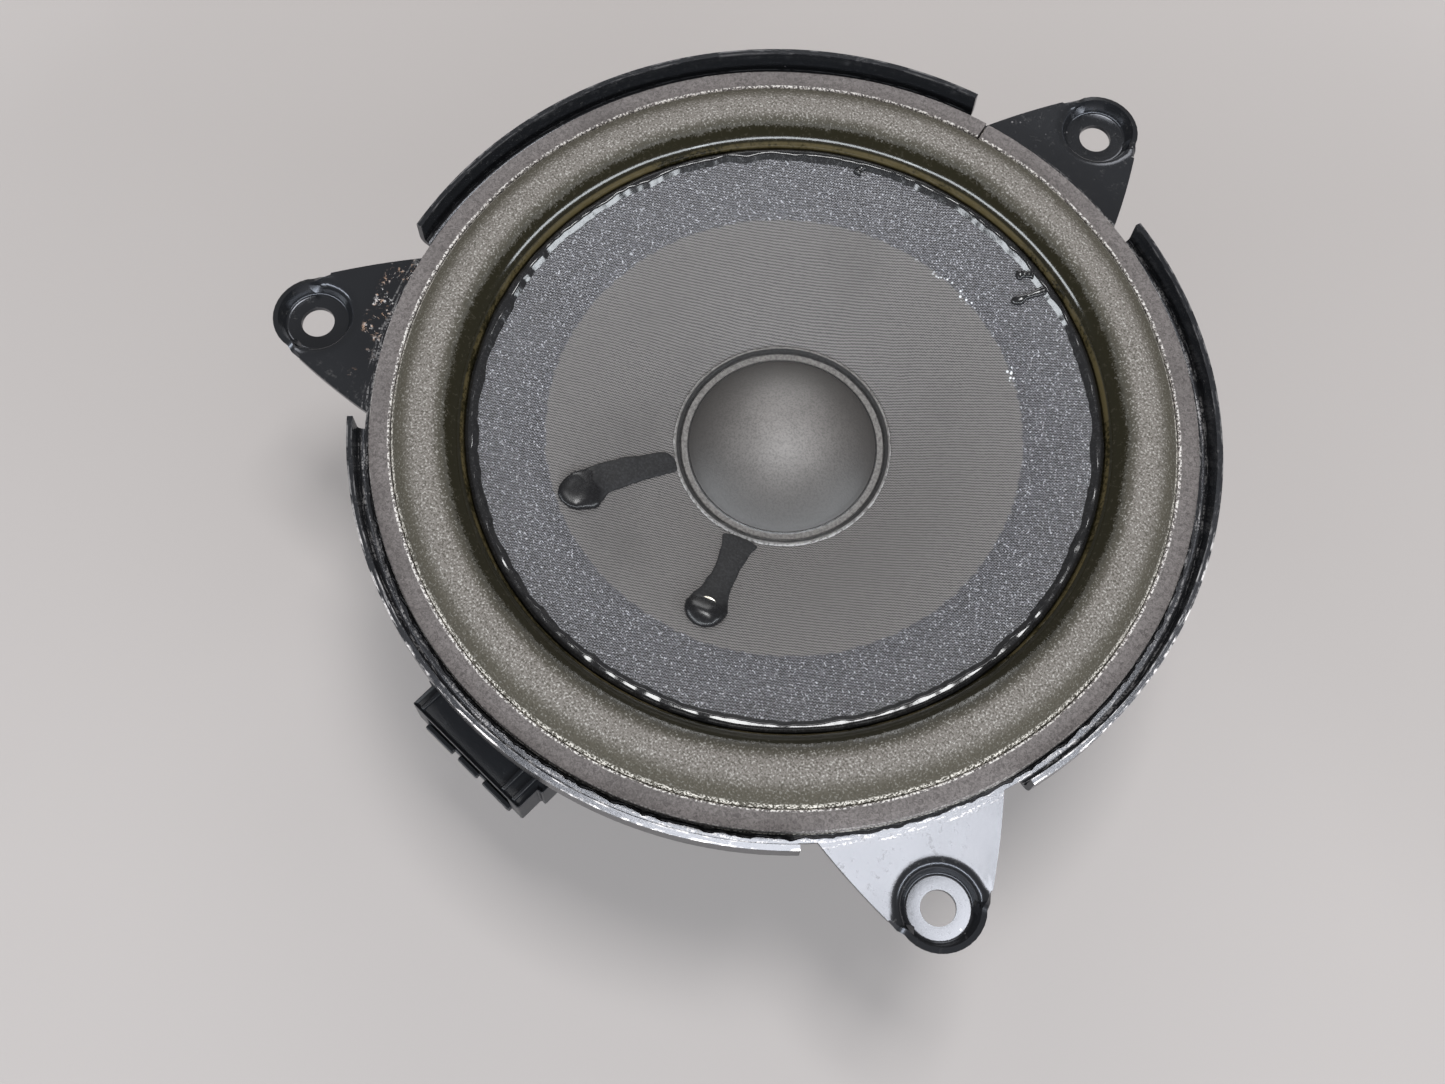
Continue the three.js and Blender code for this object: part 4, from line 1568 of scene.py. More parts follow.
@dataclass
class Gasket:
    """Fibre ring that clamps the surround, butted at one seam."""

    width: float = 4.0
    arris: float = 0.35
    seam_angle: float = 101.8
    seam: float = 0.5
    sway: float = 0.16
    fray: float = 0.05
    seam_lift: float = 0.22
    lifted: float = 14.0
    steps: int = 240
    glue_steps: int = 720

    def build(self, finishes: Finishes) -> None:
        """Make the ring.

        Args:
            finishes: The driver's finishes.
        """
        low, high = heights("gasket")
        outer = reach("gasket")
        inner = outer - self.width
        corners = [
            (inner, low, 0.1),
            (outer, low, 0.1),
            (outer, high, self.arris),
            (inner, high, self.arris),
        ]
        half_gap = self.seam / outer / 2
        mesh = bmesh.new()
        spun(
            mesh,
            rounded(corners, closed=True, steps=3),
            self.steps,
            start=math.radians(self.seam_angle) + half_gap,
            sweep=FULL_TURN - 2 * half_gap,
        )
        open_edges = [edge for edge in mesh.edges if edge.is_boundary]
        bmesh.ops.holes_fill(mesh, edges=open_edges, sides=0)
        for vertex in mesh.verts:
            spot = vertex.co
            angle = angle_of(spot)
            sway = noise.noise(Vector((spot.x, spot.y, 3)) * 0.045) * self.sway
            ragged = noise.noise(spot * 0.9) * self.fray
            out = Vector((spot.x, spot.y, 0)).normalized()
            vertex.co += out * (sway + ragged)
            past_seam = off_angle(angle, self.seam_angle)
            if 0 < past_seam < self.lifted and spot.z > high - 0.8:
                vertex.co.z += self.seam_lift * (1 - past_seam / self.lifted)
            vertex.co.z = min(vertex.co.z, high + 0.2)
        piece = finished(mesh, "fibre_gasket", finishes[Slot.FIBRE])
        settled(piece, Body.FIXED, Slot.FIBRE, "gasket")
        self._squeezed_glue(outer, low, finishes)

    def _squeezed_glue(self, outer: float, low: float, finishes: Finishes) -> None:
        """Run the ragged line of glue that the gasket pressed out on its outer side.

        Args:
            outer: The gasket's outer radius.
            low: The gasket's lowest height.
            finishes: The driver's finishes.
        """
        flange = low - 1.5
        corners = [
            (outer - 0.4, flange, 0),
            (outer - 0.4, flange + 1.1, 0),
            (outer + 0.15, flange + 1.0, 0.2),
            (outer + 0.6, flange + 0.45, 0.2),
            (outer + 0.75, flange, 0),
        ]
        mesh = bmesh.new()
        spun(mesh, rounded(corners, closed=True, steps=3), self.glue_steps)
        for vertex in mesh.verts:
            spot = vertex.co
            if math.hypot(spot.x, spot.y) < outer:
                continue
            out = Vector((spot.x, spot.y, 0)).normalized()
            ragged = noise.noise(out * 30) * 0.45 + noise.noise(out * 110) * 0.3
            vertex.co += out * (ragged - 0.1)
            vertex.co.z += min(0.0, noise.noise(out * 70 + Vector((0, 0, 9))) * 0.5)
        piece = finished(mesh, "squeezed_glue", finishes[Slot.GLUE], sharp=80)
        settled(piece, Body.FIXED, Slot.GLUE)


@dataclass
class Surround:
    """Half-roll foam surround, clamped under the gasket and lapped under the cone's edge."""

    foam: float = 0.9
    roll_width: float = 13.95
    roll_rise: float = 5.3
    outer_fullness: float = 0.9
    clamp_width: float = 3.95
    clamp_drop: float = 0.2
    lap: float = 4.7
    lap_drop: float = 1.15
    lap_bend: float = 1.2
    waver: float = 0.16
    arc_steps: int = 26
    steps: int = 200

    def build(self, cone: Cone, finishes: Finishes) -> None:
        """Make the surround.

        Args:
            cone: The cone that it is glued under.
            finishes: The driver's finishes.
        """
        outer = reach("surround")
        _, top = heights("surround")
        foot = top - self.roll_rise
        clamp = foot - self.clamp_drop
        roll_outer = outer - self.clamp_width
        middle = roll_outer - self.roll_width / 2
        front = [(outer, clamp), (roll_outer + 1.0, clamp), (roll_outer + 0.35, clamp + 0.02)]
        for k in range(self.arc_steps + 1):
            turn = math.pi * k / self.arc_steps
            out = self.roll_width / 2 * math.cos(turn)
            fullness = self.outer_fullness if out > 0 else 1.0
            rise = self.roll_rise * max(0.0, math.sin(turn)) ** fullness
            front.append((middle + out, foot + rise))
        inner = roll_outer - self.roll_width
        front += [(inner - 0.5, foot - 0.25), (inner - self.lap_bend, foot - self.lap_drop)]
        slope = cone.slope(inner - self.lap)
        drop = self.lap_drop + slope * (self.lap - self.lap_bend)
        front.append((inner - self.lap, foot - drop))
        outline = walled(front[::-1], self.foam)
        mesh = bmesh.new()
        spun(mesh, outline, self.steps)
        for vertex in mesh.verts:
            radius = math.hypot(vertex.co.x, vertex.co.y)
            if inner + 0.4 < radius < roll_outer - 0.4:
                vertex.co.z += noise.noise(vertex.co * 0.08) * self.waver
                vertex.co.z = min(vertex.co.z, top)
        piece = finished(mesh, "foam_surround", finishes[Slot.FOAM])
        rides_by_radius(piece, roll_outer - 0.5, inner + 0.3)
        bending(piece, "surround")


# ---------------------------------------------------------------------------
# Cone, dust cap and their glue
# ---------------------------------------------------------------------------


@dataclass
class Cone:
    """Woven cone with a coated outer band, and the black bead along its edge."""

    thickness: float = 0.8
    neck: float = 13.25
    rim_slope: float = 0.1035
    curve: float = 0.004345
    steps: int = 192
    slant_steps: int = 34
    bead_steps: int = 720
    bead_width: float = 2.5
    bead_rise: float = 0.8
    bead_inset: float = 0.3
    bead_ragged: float = 0.9
    bead_outer_share: float = 0.25

    def __post_init__(self) -> None:
        """Take the edge from the frame."""
        self.edge = reach("cone")
        self.edge_top = heights("cone")[1]

    def slope(self, radius: float) -> float:
        """Steepness of the cone's front at a radius."""
        return self.rim_slope + 2 * self.curve * (self.edge - radius)

    def top(self, radius: float) -> float:
        """Height of the cone's front at a radius."""
        inward = self.edge - radius
        return self.edge_top - self.rim_slope * inward - self.curve * inward * inward

    def build(self, finishes: Finishes) -> None:
        """Make the cone and its bead.

        Args:
            finishes: The driver's finishes.
        """
        stretch, count = self.edge - self.neck, self.slant_steps
        radii = [self.neck + stretch * k / count for k in range(count + 1)]
        outline = walled([(r, self.top(r)) for r in radii], self.thickness)
        mesh = bmesh.new()
        spun(mesh, outline, self.steps)
        piece = finished(mesh, "woven_cone", finishes[Slot.WEAVE])
        settled(piece, Body.MOVING, Slot.WEAVE, "cone")
        self._bead(finishes)

    def _bead(self, finishes: Finishes) -> None:
        """Run a ragged bead of black glue along the cone's edge.

        Args:
            finishes: The driver's finishes.
        """
        middle = self.edge - self.bead_inset
        half = self.bead_width / 2
        outline = [
            (middle - half, self.top(middle - half) - 0.05),
            (middle - half * 0.2, self.edge_top + self.bead_rise),
            (middle + half * 0.4, self.edge_top + self.bead_rise),
            (middle + half * 0.9, self.edge_top + 0.3),
            (middle + half, self.edge_top - 0.1),
        ]
        mesh = bmesh.new()
        spun(mesh, filled(outline, 0.3), self.bead_steps)
        low, high = heights("edge_glue")
        for vertex in mesh.verts:
            spot = vertex.co
            out = Vector((spot.x, spot.y, 0)).normalized()
            around = out * 60
            lumps = noise.noise(around * 0.17) * 0.6 + noise.noise(around * 0.6) * 0.25
            outboard = math.hypot(spot.x, spot.y) > middle
            side = self.bead_outer_share if outboard else -1.0
            vertex.co += out * side * lumps * self.bead_ragged
            vertex.co.z += noise.noise(around * 0.3 + Vector((0, 0, 40))) * 0.2
            vertex.co.z = min(max(vertex.co.z, low - 1.0), high + 0.3)
        piece = finished(mesh, "edge_bead", finishes[Slot.GLUE], sharp=80)
        settled(piece, Body.MOVING, Slot.GLUE, "edge_glue")


@dataclass
class DustCap:
    """Domed dust cap on its ring of glue."""

    rise: float = 7.0
    wall: float = 0.5
    steps: int = 128
    dome_steps: int = 22
    ring_steps: int = 240
    lip: float = 0.5

    def build(self, cone: Cone, finishes: Finishes) -> None:
        """Make the dome and its ring.

        Args:
            cone: The cone that they sit on.
            finishes: The driver's finishes.
        """
        radius = reach("dust_cap")
        _, apex = heights("dust_cap")
        foot = apex - self.rise
        sphere = (radius * radius + self.rise * self.rise) / (2 * self.rise)
        front = []
        for k in range(self.dome_steps + 1):
            r = (radius - self.lip) * k / self.dome_steps
            front.append((r, apex - sphere + math.sqrt(sphere * sphere - r * r)))
        front += [(radius - 0.25, foot + 0.12), (radius, foot - 0.05)]
        outline = walled(front, self.wall)
        outline = [(max(r, 0.0), z) for r, z in outline]
        outline[-1] = (0.0, apex - self.wall)
        mesh = bmesh.new()
        spun(mesh, outline, self.steps)
        piece = finished(mesh, "dome_dust_cap", finishes[Slot.CAP])
        settled(piece, Body.MOVING, Slot.CAP, "dust_cap")
        self._ring(cone, radius, foot, finishes)

    def _ring(self, cone: Cone, radius: float, foot: float, finishes: Finishes) -> None:
        """Make the flat ring of glue round the dome.

        Args:
            cone: The cone that it lies on.
            radius: The dome's radius.
            foot: The height of the dome's foot.
            finishes: The driver's finishes.
        """
        outer = reach("cap_glue")

        def over(r: float, lift: float) -> Point:
            """Point at a height over the cone's front."""
            return r, cone.top(r) + lift

        corners = [
            (*over(radius - 0.9, 0.02), 0),
            (radius - 0.25, foot - 0.15, 0),
            (radius + 0.1, foot + 0.14, 0.1),
            (radius + 0.4, foot - 0.2, 0.1),
            (*over(radius + 1.5, 0.5), 0.2),
            (*over(radius + 1.75, 0.12), 0.1),
            (*over(radius + 2.1, 0.7), 0.15),
            (*over(outer - 0.45, 0.75), 0.2),
            (*over(outer, 0.02), 0),
        ]
        mesh = bmesh.new()
        spun(mesh, rounded(corners, closed=True), self.ring_steps)
        for vertex in mesh.verts:
            spot = vertex.co
            wander = noise.noise(spot * 0.35) * 0.12 + noise.noise(spot * 1.4) * 0.06
            if math.hypot(spot.x, spot.y) > radius + 1:
                vertex.co += Vector((spot.x, spot.y, 0)).normalized() * (wander - 0.1)
        piece = finished(mesh, "cap_ring", RingGlue().material(), sharp=80)
        settled(piece, Body.MOVING, Slot.GLUE, "cap_glue")


@dataclass
class GlueRun:
    """A run of black glue on the cone, from one spot to another."""

    name: str
    left: tuple[float, ...]
    right: tuple[float, ...]
    heights: tuple[float, ...]
    blunt: tuple[float, float] = (0.06, 0.2)
    bow: float = 0.0
    seed: float = 1.0
    nodes: tuple[str, ...] = ()

    def build(self, cone: Cone, start: Vector, end: Vector, material: bpy.types.Material) -> None:
        """Make the run.

        Args:
            cone: The cone that it lies on.
            start: Where it begins.
            end: Where it ends.
            material: Its finish.
        """
        mesh = bmesh.new()
        bmesh.ops.create_uvsphere(mesh, u_segments=56, v_segments=72, radius=1.0)
        for vertex in mesh.verts:
            self._lay(vertex, cone, start, end)
        piece = finished(mesh, self.name, material, sharp=180)
        settled(piece, Body.MOVING, Slot.GLUE, *self.nodes)

    def _lay(self, vertex: bmesh.types.BMVert, cone: Cone, start: Vector, end: Vector) -> None:
        """Move a vertex of a unit ball to its place on the run.

        Args:
            vertex: The vertex; the ball's axis becomes the run's length.
            cone: The cone that the run lies on.
            start: Where the run begins.
            end: Where it ends.
        """
        spot = vertex.co.normalized()
        t = (spot.z + 1) / 2
        first, last = self.blunt
        taper = math.sqrt(max(0.0, 1 - max(0.0, 1 - t / first) ** 2))
        taper *= math.sqrt(max(0.0, 1 - max(0.0, 1 - (1 - t) / last) ** 2))
        turn = math.atan2(spot.y, spot.x)
        side = self.left if math.cos(turn) > 0 else self.right
        ragged = 1 + 0.16 * noise.noise(Vector((t * 6, math.cos(turn), self.seed)))
        ragged += 0.06 * noise.noise(Vector((t * 30, math.cos(turn), self.seed)))
        aside = along(side, t) * math.cos(turn) * taper * ragged
        aside += self.bow * math.sin(math.pi * t)
        way = (end - start).normalized()
        x = start.x + (end.x - start.x) * t - way.y * aside
        y = start.y + (end.y - start.y) * t + way.x * aside
        lift = max(math.sin(turn), 0.0)
        lumps = noise.noise(Vector((x * 0.22, y * 0.22, self.seed))) * 0.35
        rise = along(self.heights, t) * (1 + lumps) * taper * lift**0.55
        sunk = 0.1 if math.sin(turn) < 0 else 0.0
        vertex.co = Vector((x, y, cone.top(math.hypot(x, y)) + rise - sunk))


@dataclass
class ConeGlue:
    """The two glued lead strips and the drips of the edge bead."""

    overrun: float = 3.8
    ring_radius: float = 21.3
    strip_turns: Point = (-8.2, 0.0)
    drips: tuple[tuple[float, ...], ...] = (
        (73.5, 1.5, 7.6, 0.75),
        (77.5, 2.0, 3.4, 0.8),
        (118.0, 1.0, 2.6, 0.7),
    )

    def build(self, cone: Cone, finishes: Finishes) -> None:
        """Make every run.

        Each drip is given by the angle where it begins, the angle that it turns by, how far
        in it reaches from the cone's edge, and half its width.

        Args:
            cone: The cone that they lie on.
            finishes: The driver's finishes.
        """
        soaked = SoakedGlue().material()
        strips = (
            GlueRun(
                "lead_strip_1",
                left=(2.1, 2.4, 2.7, 3.2, 4.7, 4.3),
                right=(2.1, 2.5, 2.9, 3.1, 3.3, 3.4),
                heights=(0.45, 0.6, 0.65, 0.8, 1.7, 1.9),
                bow=-0.8,
                seed=3.0,
                nodes=("lead_glue_1",),
            ),
            GlueRun(
                "lead_strip_2",
                left=(4.0, 2.7, 2.2, 2.5, 3.9, 4.2),
                right=(4.0, 2.8, 2.3, 2.8, 4.2, 4.2),
                heights=(0.45, 0.6, 0.65, 0.9, 2.0, 2.1),
                bow=0.3,
                seed=8.0,
                nodes=("lead_glue_2",),
            ),
        )
        for number, (strip, aside) in enumerate(zip(strips, self.strip_turns), start=1):
            low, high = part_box(f"lead_eyelet_{number}")
            eyelet = (low + high) / 2 / MM
            eyelet.z = 0.0
            start = Vector((*on_circle(self.ring_radius, angle_of(eyelet) + aside), 0.0))
            end = eyelet + (eyelet - start).normalized() * self.overrun
            strip.build(cone, start, end, soaked)
        for number, (angle, turn, length, half) in enumerate(self.drips, start=1):
            drip = GlueRun(
                f"edge_drip_{number}",
                left=(half * 1.5, half, half * 0.8, half * 1.6, half * 1.3),
                right=(half * 1.4, half, half * 0.7, half, half * 1.2),
                heights=(0.9, 0.7, 0.6, 0.9, 0.9),
                seed=20.0 + number,
            )
            start = Vector((*on_circle(cone.edge - 0.6, angle), 0.0))
            end = Vector((*on_circle(cone.edge - length, angle + turn), 0.0))
            drip.build(cone, start, end, finishes[Slot.GLUE])


def along(values: Sequence[float], share: float) -> float:
    """Value at a share of the way along evenly spaced stations, smoothly joined.

    Args:
        values: The stations' values.
        share: From 0 at the first to 1 at the last.

    Returns:
        The value there.
    """
    place = min(max(share, 0.0), 1.0) * (len(values) - 1)
    first = min(int(place), len(values) - 2)
    return values[first] + (values[first + 1] - values[first]) * eased(place - first)


# ---------------------------------------------------------------------------
# Voice coil, spider and leads
# ---------------------------------------------------------------------------


@dataclass
class VoiceCoil:
    """Film former with its copper winding."""

    former_wall: float = 0.3
    winding_wall: float = 0.6

    def build(self, finishes: Finishes) -> None:
        """Make the former and the winding.

        Args:
            finishes: The driver's finishes.
        """
        parts = (
            ("coil_former", "film_former", self.former_wall, Slot.FILM, 0.05),
            ("coil_winding", "wire_winding", self.winding_wall, Slot.COPPER, 0.2),
        )
        for node, name, wall, slot, arris in parts:
            low, high = heights(node)
            outer = reach(node)
            corners = [
                (outer - wall, low, arris),
                (outer, low, arris),
                (outer, high, arris),
                (outer - wall, high, arris),
            ]
            settled(lathe(name, corners, finishes[slot]), Body.MOVING, slot, node)


@dataclass
class Spider:
    """Corrugated centring disc."""

    thickness: float = 0.6
    inner: float = 13.25
    flat: float = 2.6
    wave: float = 1.1
    folds: int = 6
    fold_steps: int = 10
    steps: int = 144

    def build(self, finishes: Finishes) -> None:
        """Make the disc.

        Args:
            finishes: The driver's finishes.
        """
        outer = reach("spider")
        low, high = heights("spider")
        level = high - self.wave
        first, last = self.inner + self.flat, outer - 2 * self.flat
        count = self.folds * self.fold_steps
        front = [(self.inner, level)]
        for k in range(count + 1):
            t = k / count
            swell = min(1.0, 6 * t, 6 * (1 - t))
            height = -self.wave * math.sin(math.pi * t * self.folds) * swell
            front.append((first + (last - first) * t, level + height))
        front += [(outer - self.flat, level), (outer, level)]
        mesh = bmesh.new()
        spun(mesh, walled(front, self.thickness), self.steps)
        for vertex in mesh.verts:
            vertex.co.z = min(max(vertex.co.z, low), high)
        piece = finished(mesh, "cotton_spider", finishes[Slot.COTTON])
        rides_by_radius(piece, outer - self.flat, self.inner + self.flat)
        bending(piece, "spider")


@dataclass
class TinselLead:
    """One braided lead, from under its eyelet to its contact blade, and the eyelet itself."""

    number: int
    radius: float = 0.8
    sag: float = 3.0
    below_cone: float = 3.8
    approach: float = 6.0
    tag_gap: float = 0.3
    sides: int = 14
    stations: int = 44
    eyelet_bore: float = 0.9
    eyelet_radius: float = 1.5
    eyelet_lip: float = 0.25

    def build(self, cone: Cone, finishes: Finishes) -> None:
        """Make the eyelet and the lead.

        Args:
            cone: The cone that carries the eyelet.
            finishes: The driver's finishes.
        """
        low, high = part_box(f"lead_eyelet_{self.number}")
        middle = (low + high) / 2 / MM
        self._eyelet(middle, low.z / MM, high.z / MM, high.x / MM - middle.x, finishes)
        blade_low, blade_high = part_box(f"contact_blade_{self.number}")
        blade = (blade_low + blade_high) / 2 / MM
        tag = Vector((blade.x, blade_high.y / MM + self.tag_gap, blade.z))
        top = cone.top(math.hypot(middle.x, middle.y)) - self.below_cone
        start = Vector((middle.x, middle.y, top))
        route = [
            start,
            Vector((start.x, start.y - self.sag / 2, top - self.sag)),
            start.lerp(tag, 0.45) + Vector((0, 0, -self.sag)),
            Vector((tag.x + (start.x - tag.x) * 0.2, tag.y + self.approach, tag.z - 0.2)),
            tag,
        ]
        mesh = bmesh.new()
        self._tube(mesh, route)
        piece = finished(mesh, f"braided_lead_{self.number}", finishes[Slot.BRAID], sharp=80)
        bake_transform(piece)
        bending(piece, f"tinsel_lead_{self.number}")

    def _eyelet(
        self, middle: Vector, low: float, high: float, head: float, finishes: Finishes
    ) -> None:
        """Make the hollow eyelet.

        Args:
            middle: Its middle.
            low: Its lowest height.
            high: Its highest height.
            head: Its head's radius.
            finishes: The driver's finishes.
        """
        seat = high - self.eyelet_lip
        corners = [
            (self.eyelet_bore, low, 0.1),
            (self.eyelet_radius, low, 0.2),
            (self.eyelet_radius, seat, 0.1),
            (head, seat, 0.1),
            (head, high, 0.1),
            (self.eyelet_bore, high, 0.2),
        ]
        name = f"brass_eyelet_{self.number}"
        centre = (middle.x, middle.y)
        piece = lathe(name, corners, finishes[Slot.BRASS], 36, centre)
        settled(piece, Body.MOVING, Slot.BRASS, f"lead_eyelet_{self.number}")

    def _tube(self, mesh: bmesh.types.BMesh, route: Sequence[Vector]) -> None:
        """Loft a round tube along a smooth route.

        Args:
            mesh: The lead's mesh.
            route: The points that it passes through.
        """
        spots = [on_route(route, k / (self.stations - 1)) for k in range(self.stations)]
        rings = []
        for i, spot in enumerate(spots):
            ahead = spots[min(i + 1, len(spots) - 1)] - spots[max(i - 1, 0)]
            facing = ahead.to_track_quat("Z", "X").to_matrix().to_4x4()
            place = Matrix.Translation(spot) @ facing
            ends = i in (0, len(spots) - 1)
            ring = bmesh.ops.create_circle(
                mesh, cap_ends=ends, segments=self.sides, radius=self.radius, matrix=place
            )["verts"]
            rings.append(ring)
        for first, second in zip(rings, rings[1:]):
            edges = [e for e in mesh.edges if e.verts[0] in first and e.verts[1] in first]
            edges += [e for e in mesh.edges if e.verts[0] in second and e.verts[1] in second]
            bmesh.ops.bridge_loops(mesh, edges=edges)


def on_route(route: Sequence[Vector], share: float) -> Vector:
    """Point on a smooth curve through a route's points.

    Args:
        route: The points.
        share: From 0 at the first to 1 at the last.

    Returns:
        The point there.
    """
    place = share * (len(route) - 1)
    i = min(int(place), len(route) - 2)
    t = place - i
    before, first = route[max(i - 1, 0)], route[i]
    second, after = route[i + 1], route[min(i + 2, len(route) - 1)]
    return 0.5 * (
        2 * first
        + (second - before) * t
        + (2 * before - 5 * first + 4 * second - after) * t**2
        + (3 * first - before - 3 * second + after) * t**3
    )


# ---------------------------------------------------------------------------
# Magnet system
# ---------------------------------------------------------------------------


@dataclass
class Motor:
    """Yoke with its pole, ferrite ring and top plate."""

    pole_radius: float = 12.3
    yoke_plate: float = 5.0
    yoke_chamfer: float = 1.2
    magnet_bore: float = 21.0
    plate_bore: float = 13.96
    pole_arris: float = 0.6
    pole_foot: float = 4.0

    def build(self, finishes: Finishes) -> None:
        """Make the three pieces.

        Args:
            finishes: The driver's finishes.
        """
        _, pole_top = heights("yoke")
        yoke = [
            (0, 0, 0),
            (reach("yoke") - self.yoke_chamfer, 0, 0.4),
            (reach("yoke"), self.yoke_chamfer, 0.4),
            (reach("yoke"), self.yoke_plate, 0.5),
            (self.pole_radius + self.pole_foot, self.yoke_plate, 1.0),
            (self.pole_radius, self.yoke_plate + self.pole_arris, 1.2),
            (self.pole_radius, pole_top - self.pole_arris, 0.3),
            (self.pole_radius - self.pole_arris, pole_top, 0.3),
            (0, pole_top, 0),
        ]
        self._ring("pole_yoke", yoke, Slot.STEEL, "yoke", finishes)
        for name, node, bore, slot, arris in (
            ("ferrite_ring", "magnet", self.magnet_bore, Slot.FERRITE, 1.0),
            ("front_plate", "top_plate", self.plate_bore, Slot.STEEL, 0.6),
        ):
            low, high = heights(node)
            corners = [
                (bore, low, 0.3),
                (reach(node), low, arris),
                (reach(node), high, arris),
                (bore, high, 0.3),
            ]
            self._ring(name, corners, slot, node, finishes)

    def _ring(
        self,
        name: str,
        corners: Sequence[Corner],
        slot: Slot,
        node: str,
        finishes: Finishes,
    ) -> None:
        """Turn one piece.

        Args:
            name: Its name.
            corners: Its outline.
            slot: Its finish.
            node: Its CAD node.
            finishes: The driver's finishes.
        """
        settled(lathe(name, corners, finishes[slot], 160), Body.FIXED, slot, node)


@dataclass
class Rivets:
    """Domed rivets of the top plate and of the connector's feet."""

    shank: float = 1.4
    head: float = 2.5
    head_thick: float = 1.0
    head_edge: float = 0.25
    crown_share: float = 0.62

    def build(self, finishes: Finishes) -> None:
        """Make every rivet.

        Args:
            finishes: The driver's finishes.
        """
        for number in range(1, 5):
            self._rivet(f"plate_rivet_{number}", finishes)
        for number in (1, 2):
            self._rivet(f"housing_rivet_{number}", finishes)

    def _rivet(self, node: str, finishes: Finishes) -> None:
        """Make one rivet where its CAD node is.

        Args:
            node: The CAD node.
            finishes: The driver's finishes.
        """
        low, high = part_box(node)
        middle = (low + high) / 2 / MM
        bottom, top = low.z / MM, high.z / MM
        seat = top - self.head_thick
        corners = [
            (0, bottom, 0),
            (self.shank, bottom, 0.3),
            (self.shank, seat, 0.05),
            (self.head, seat, 0.05),
            (self.head, seat + self.head_edge, 0.2),
            (self.head * self.crown_share, top, 0.8),
            (0, top, 0),
        ]
        centre = (middle.x, middle.y)
        piece = lathe(f"{node}_dome", corners, finishes[Slot.STEEL], 40, centre)
        settled(piece, Body.FIXED, Slot.STEEL, node)


# ---------------------------------------------------------------------------
# Connector
# ---------------------------------------------------------------------------


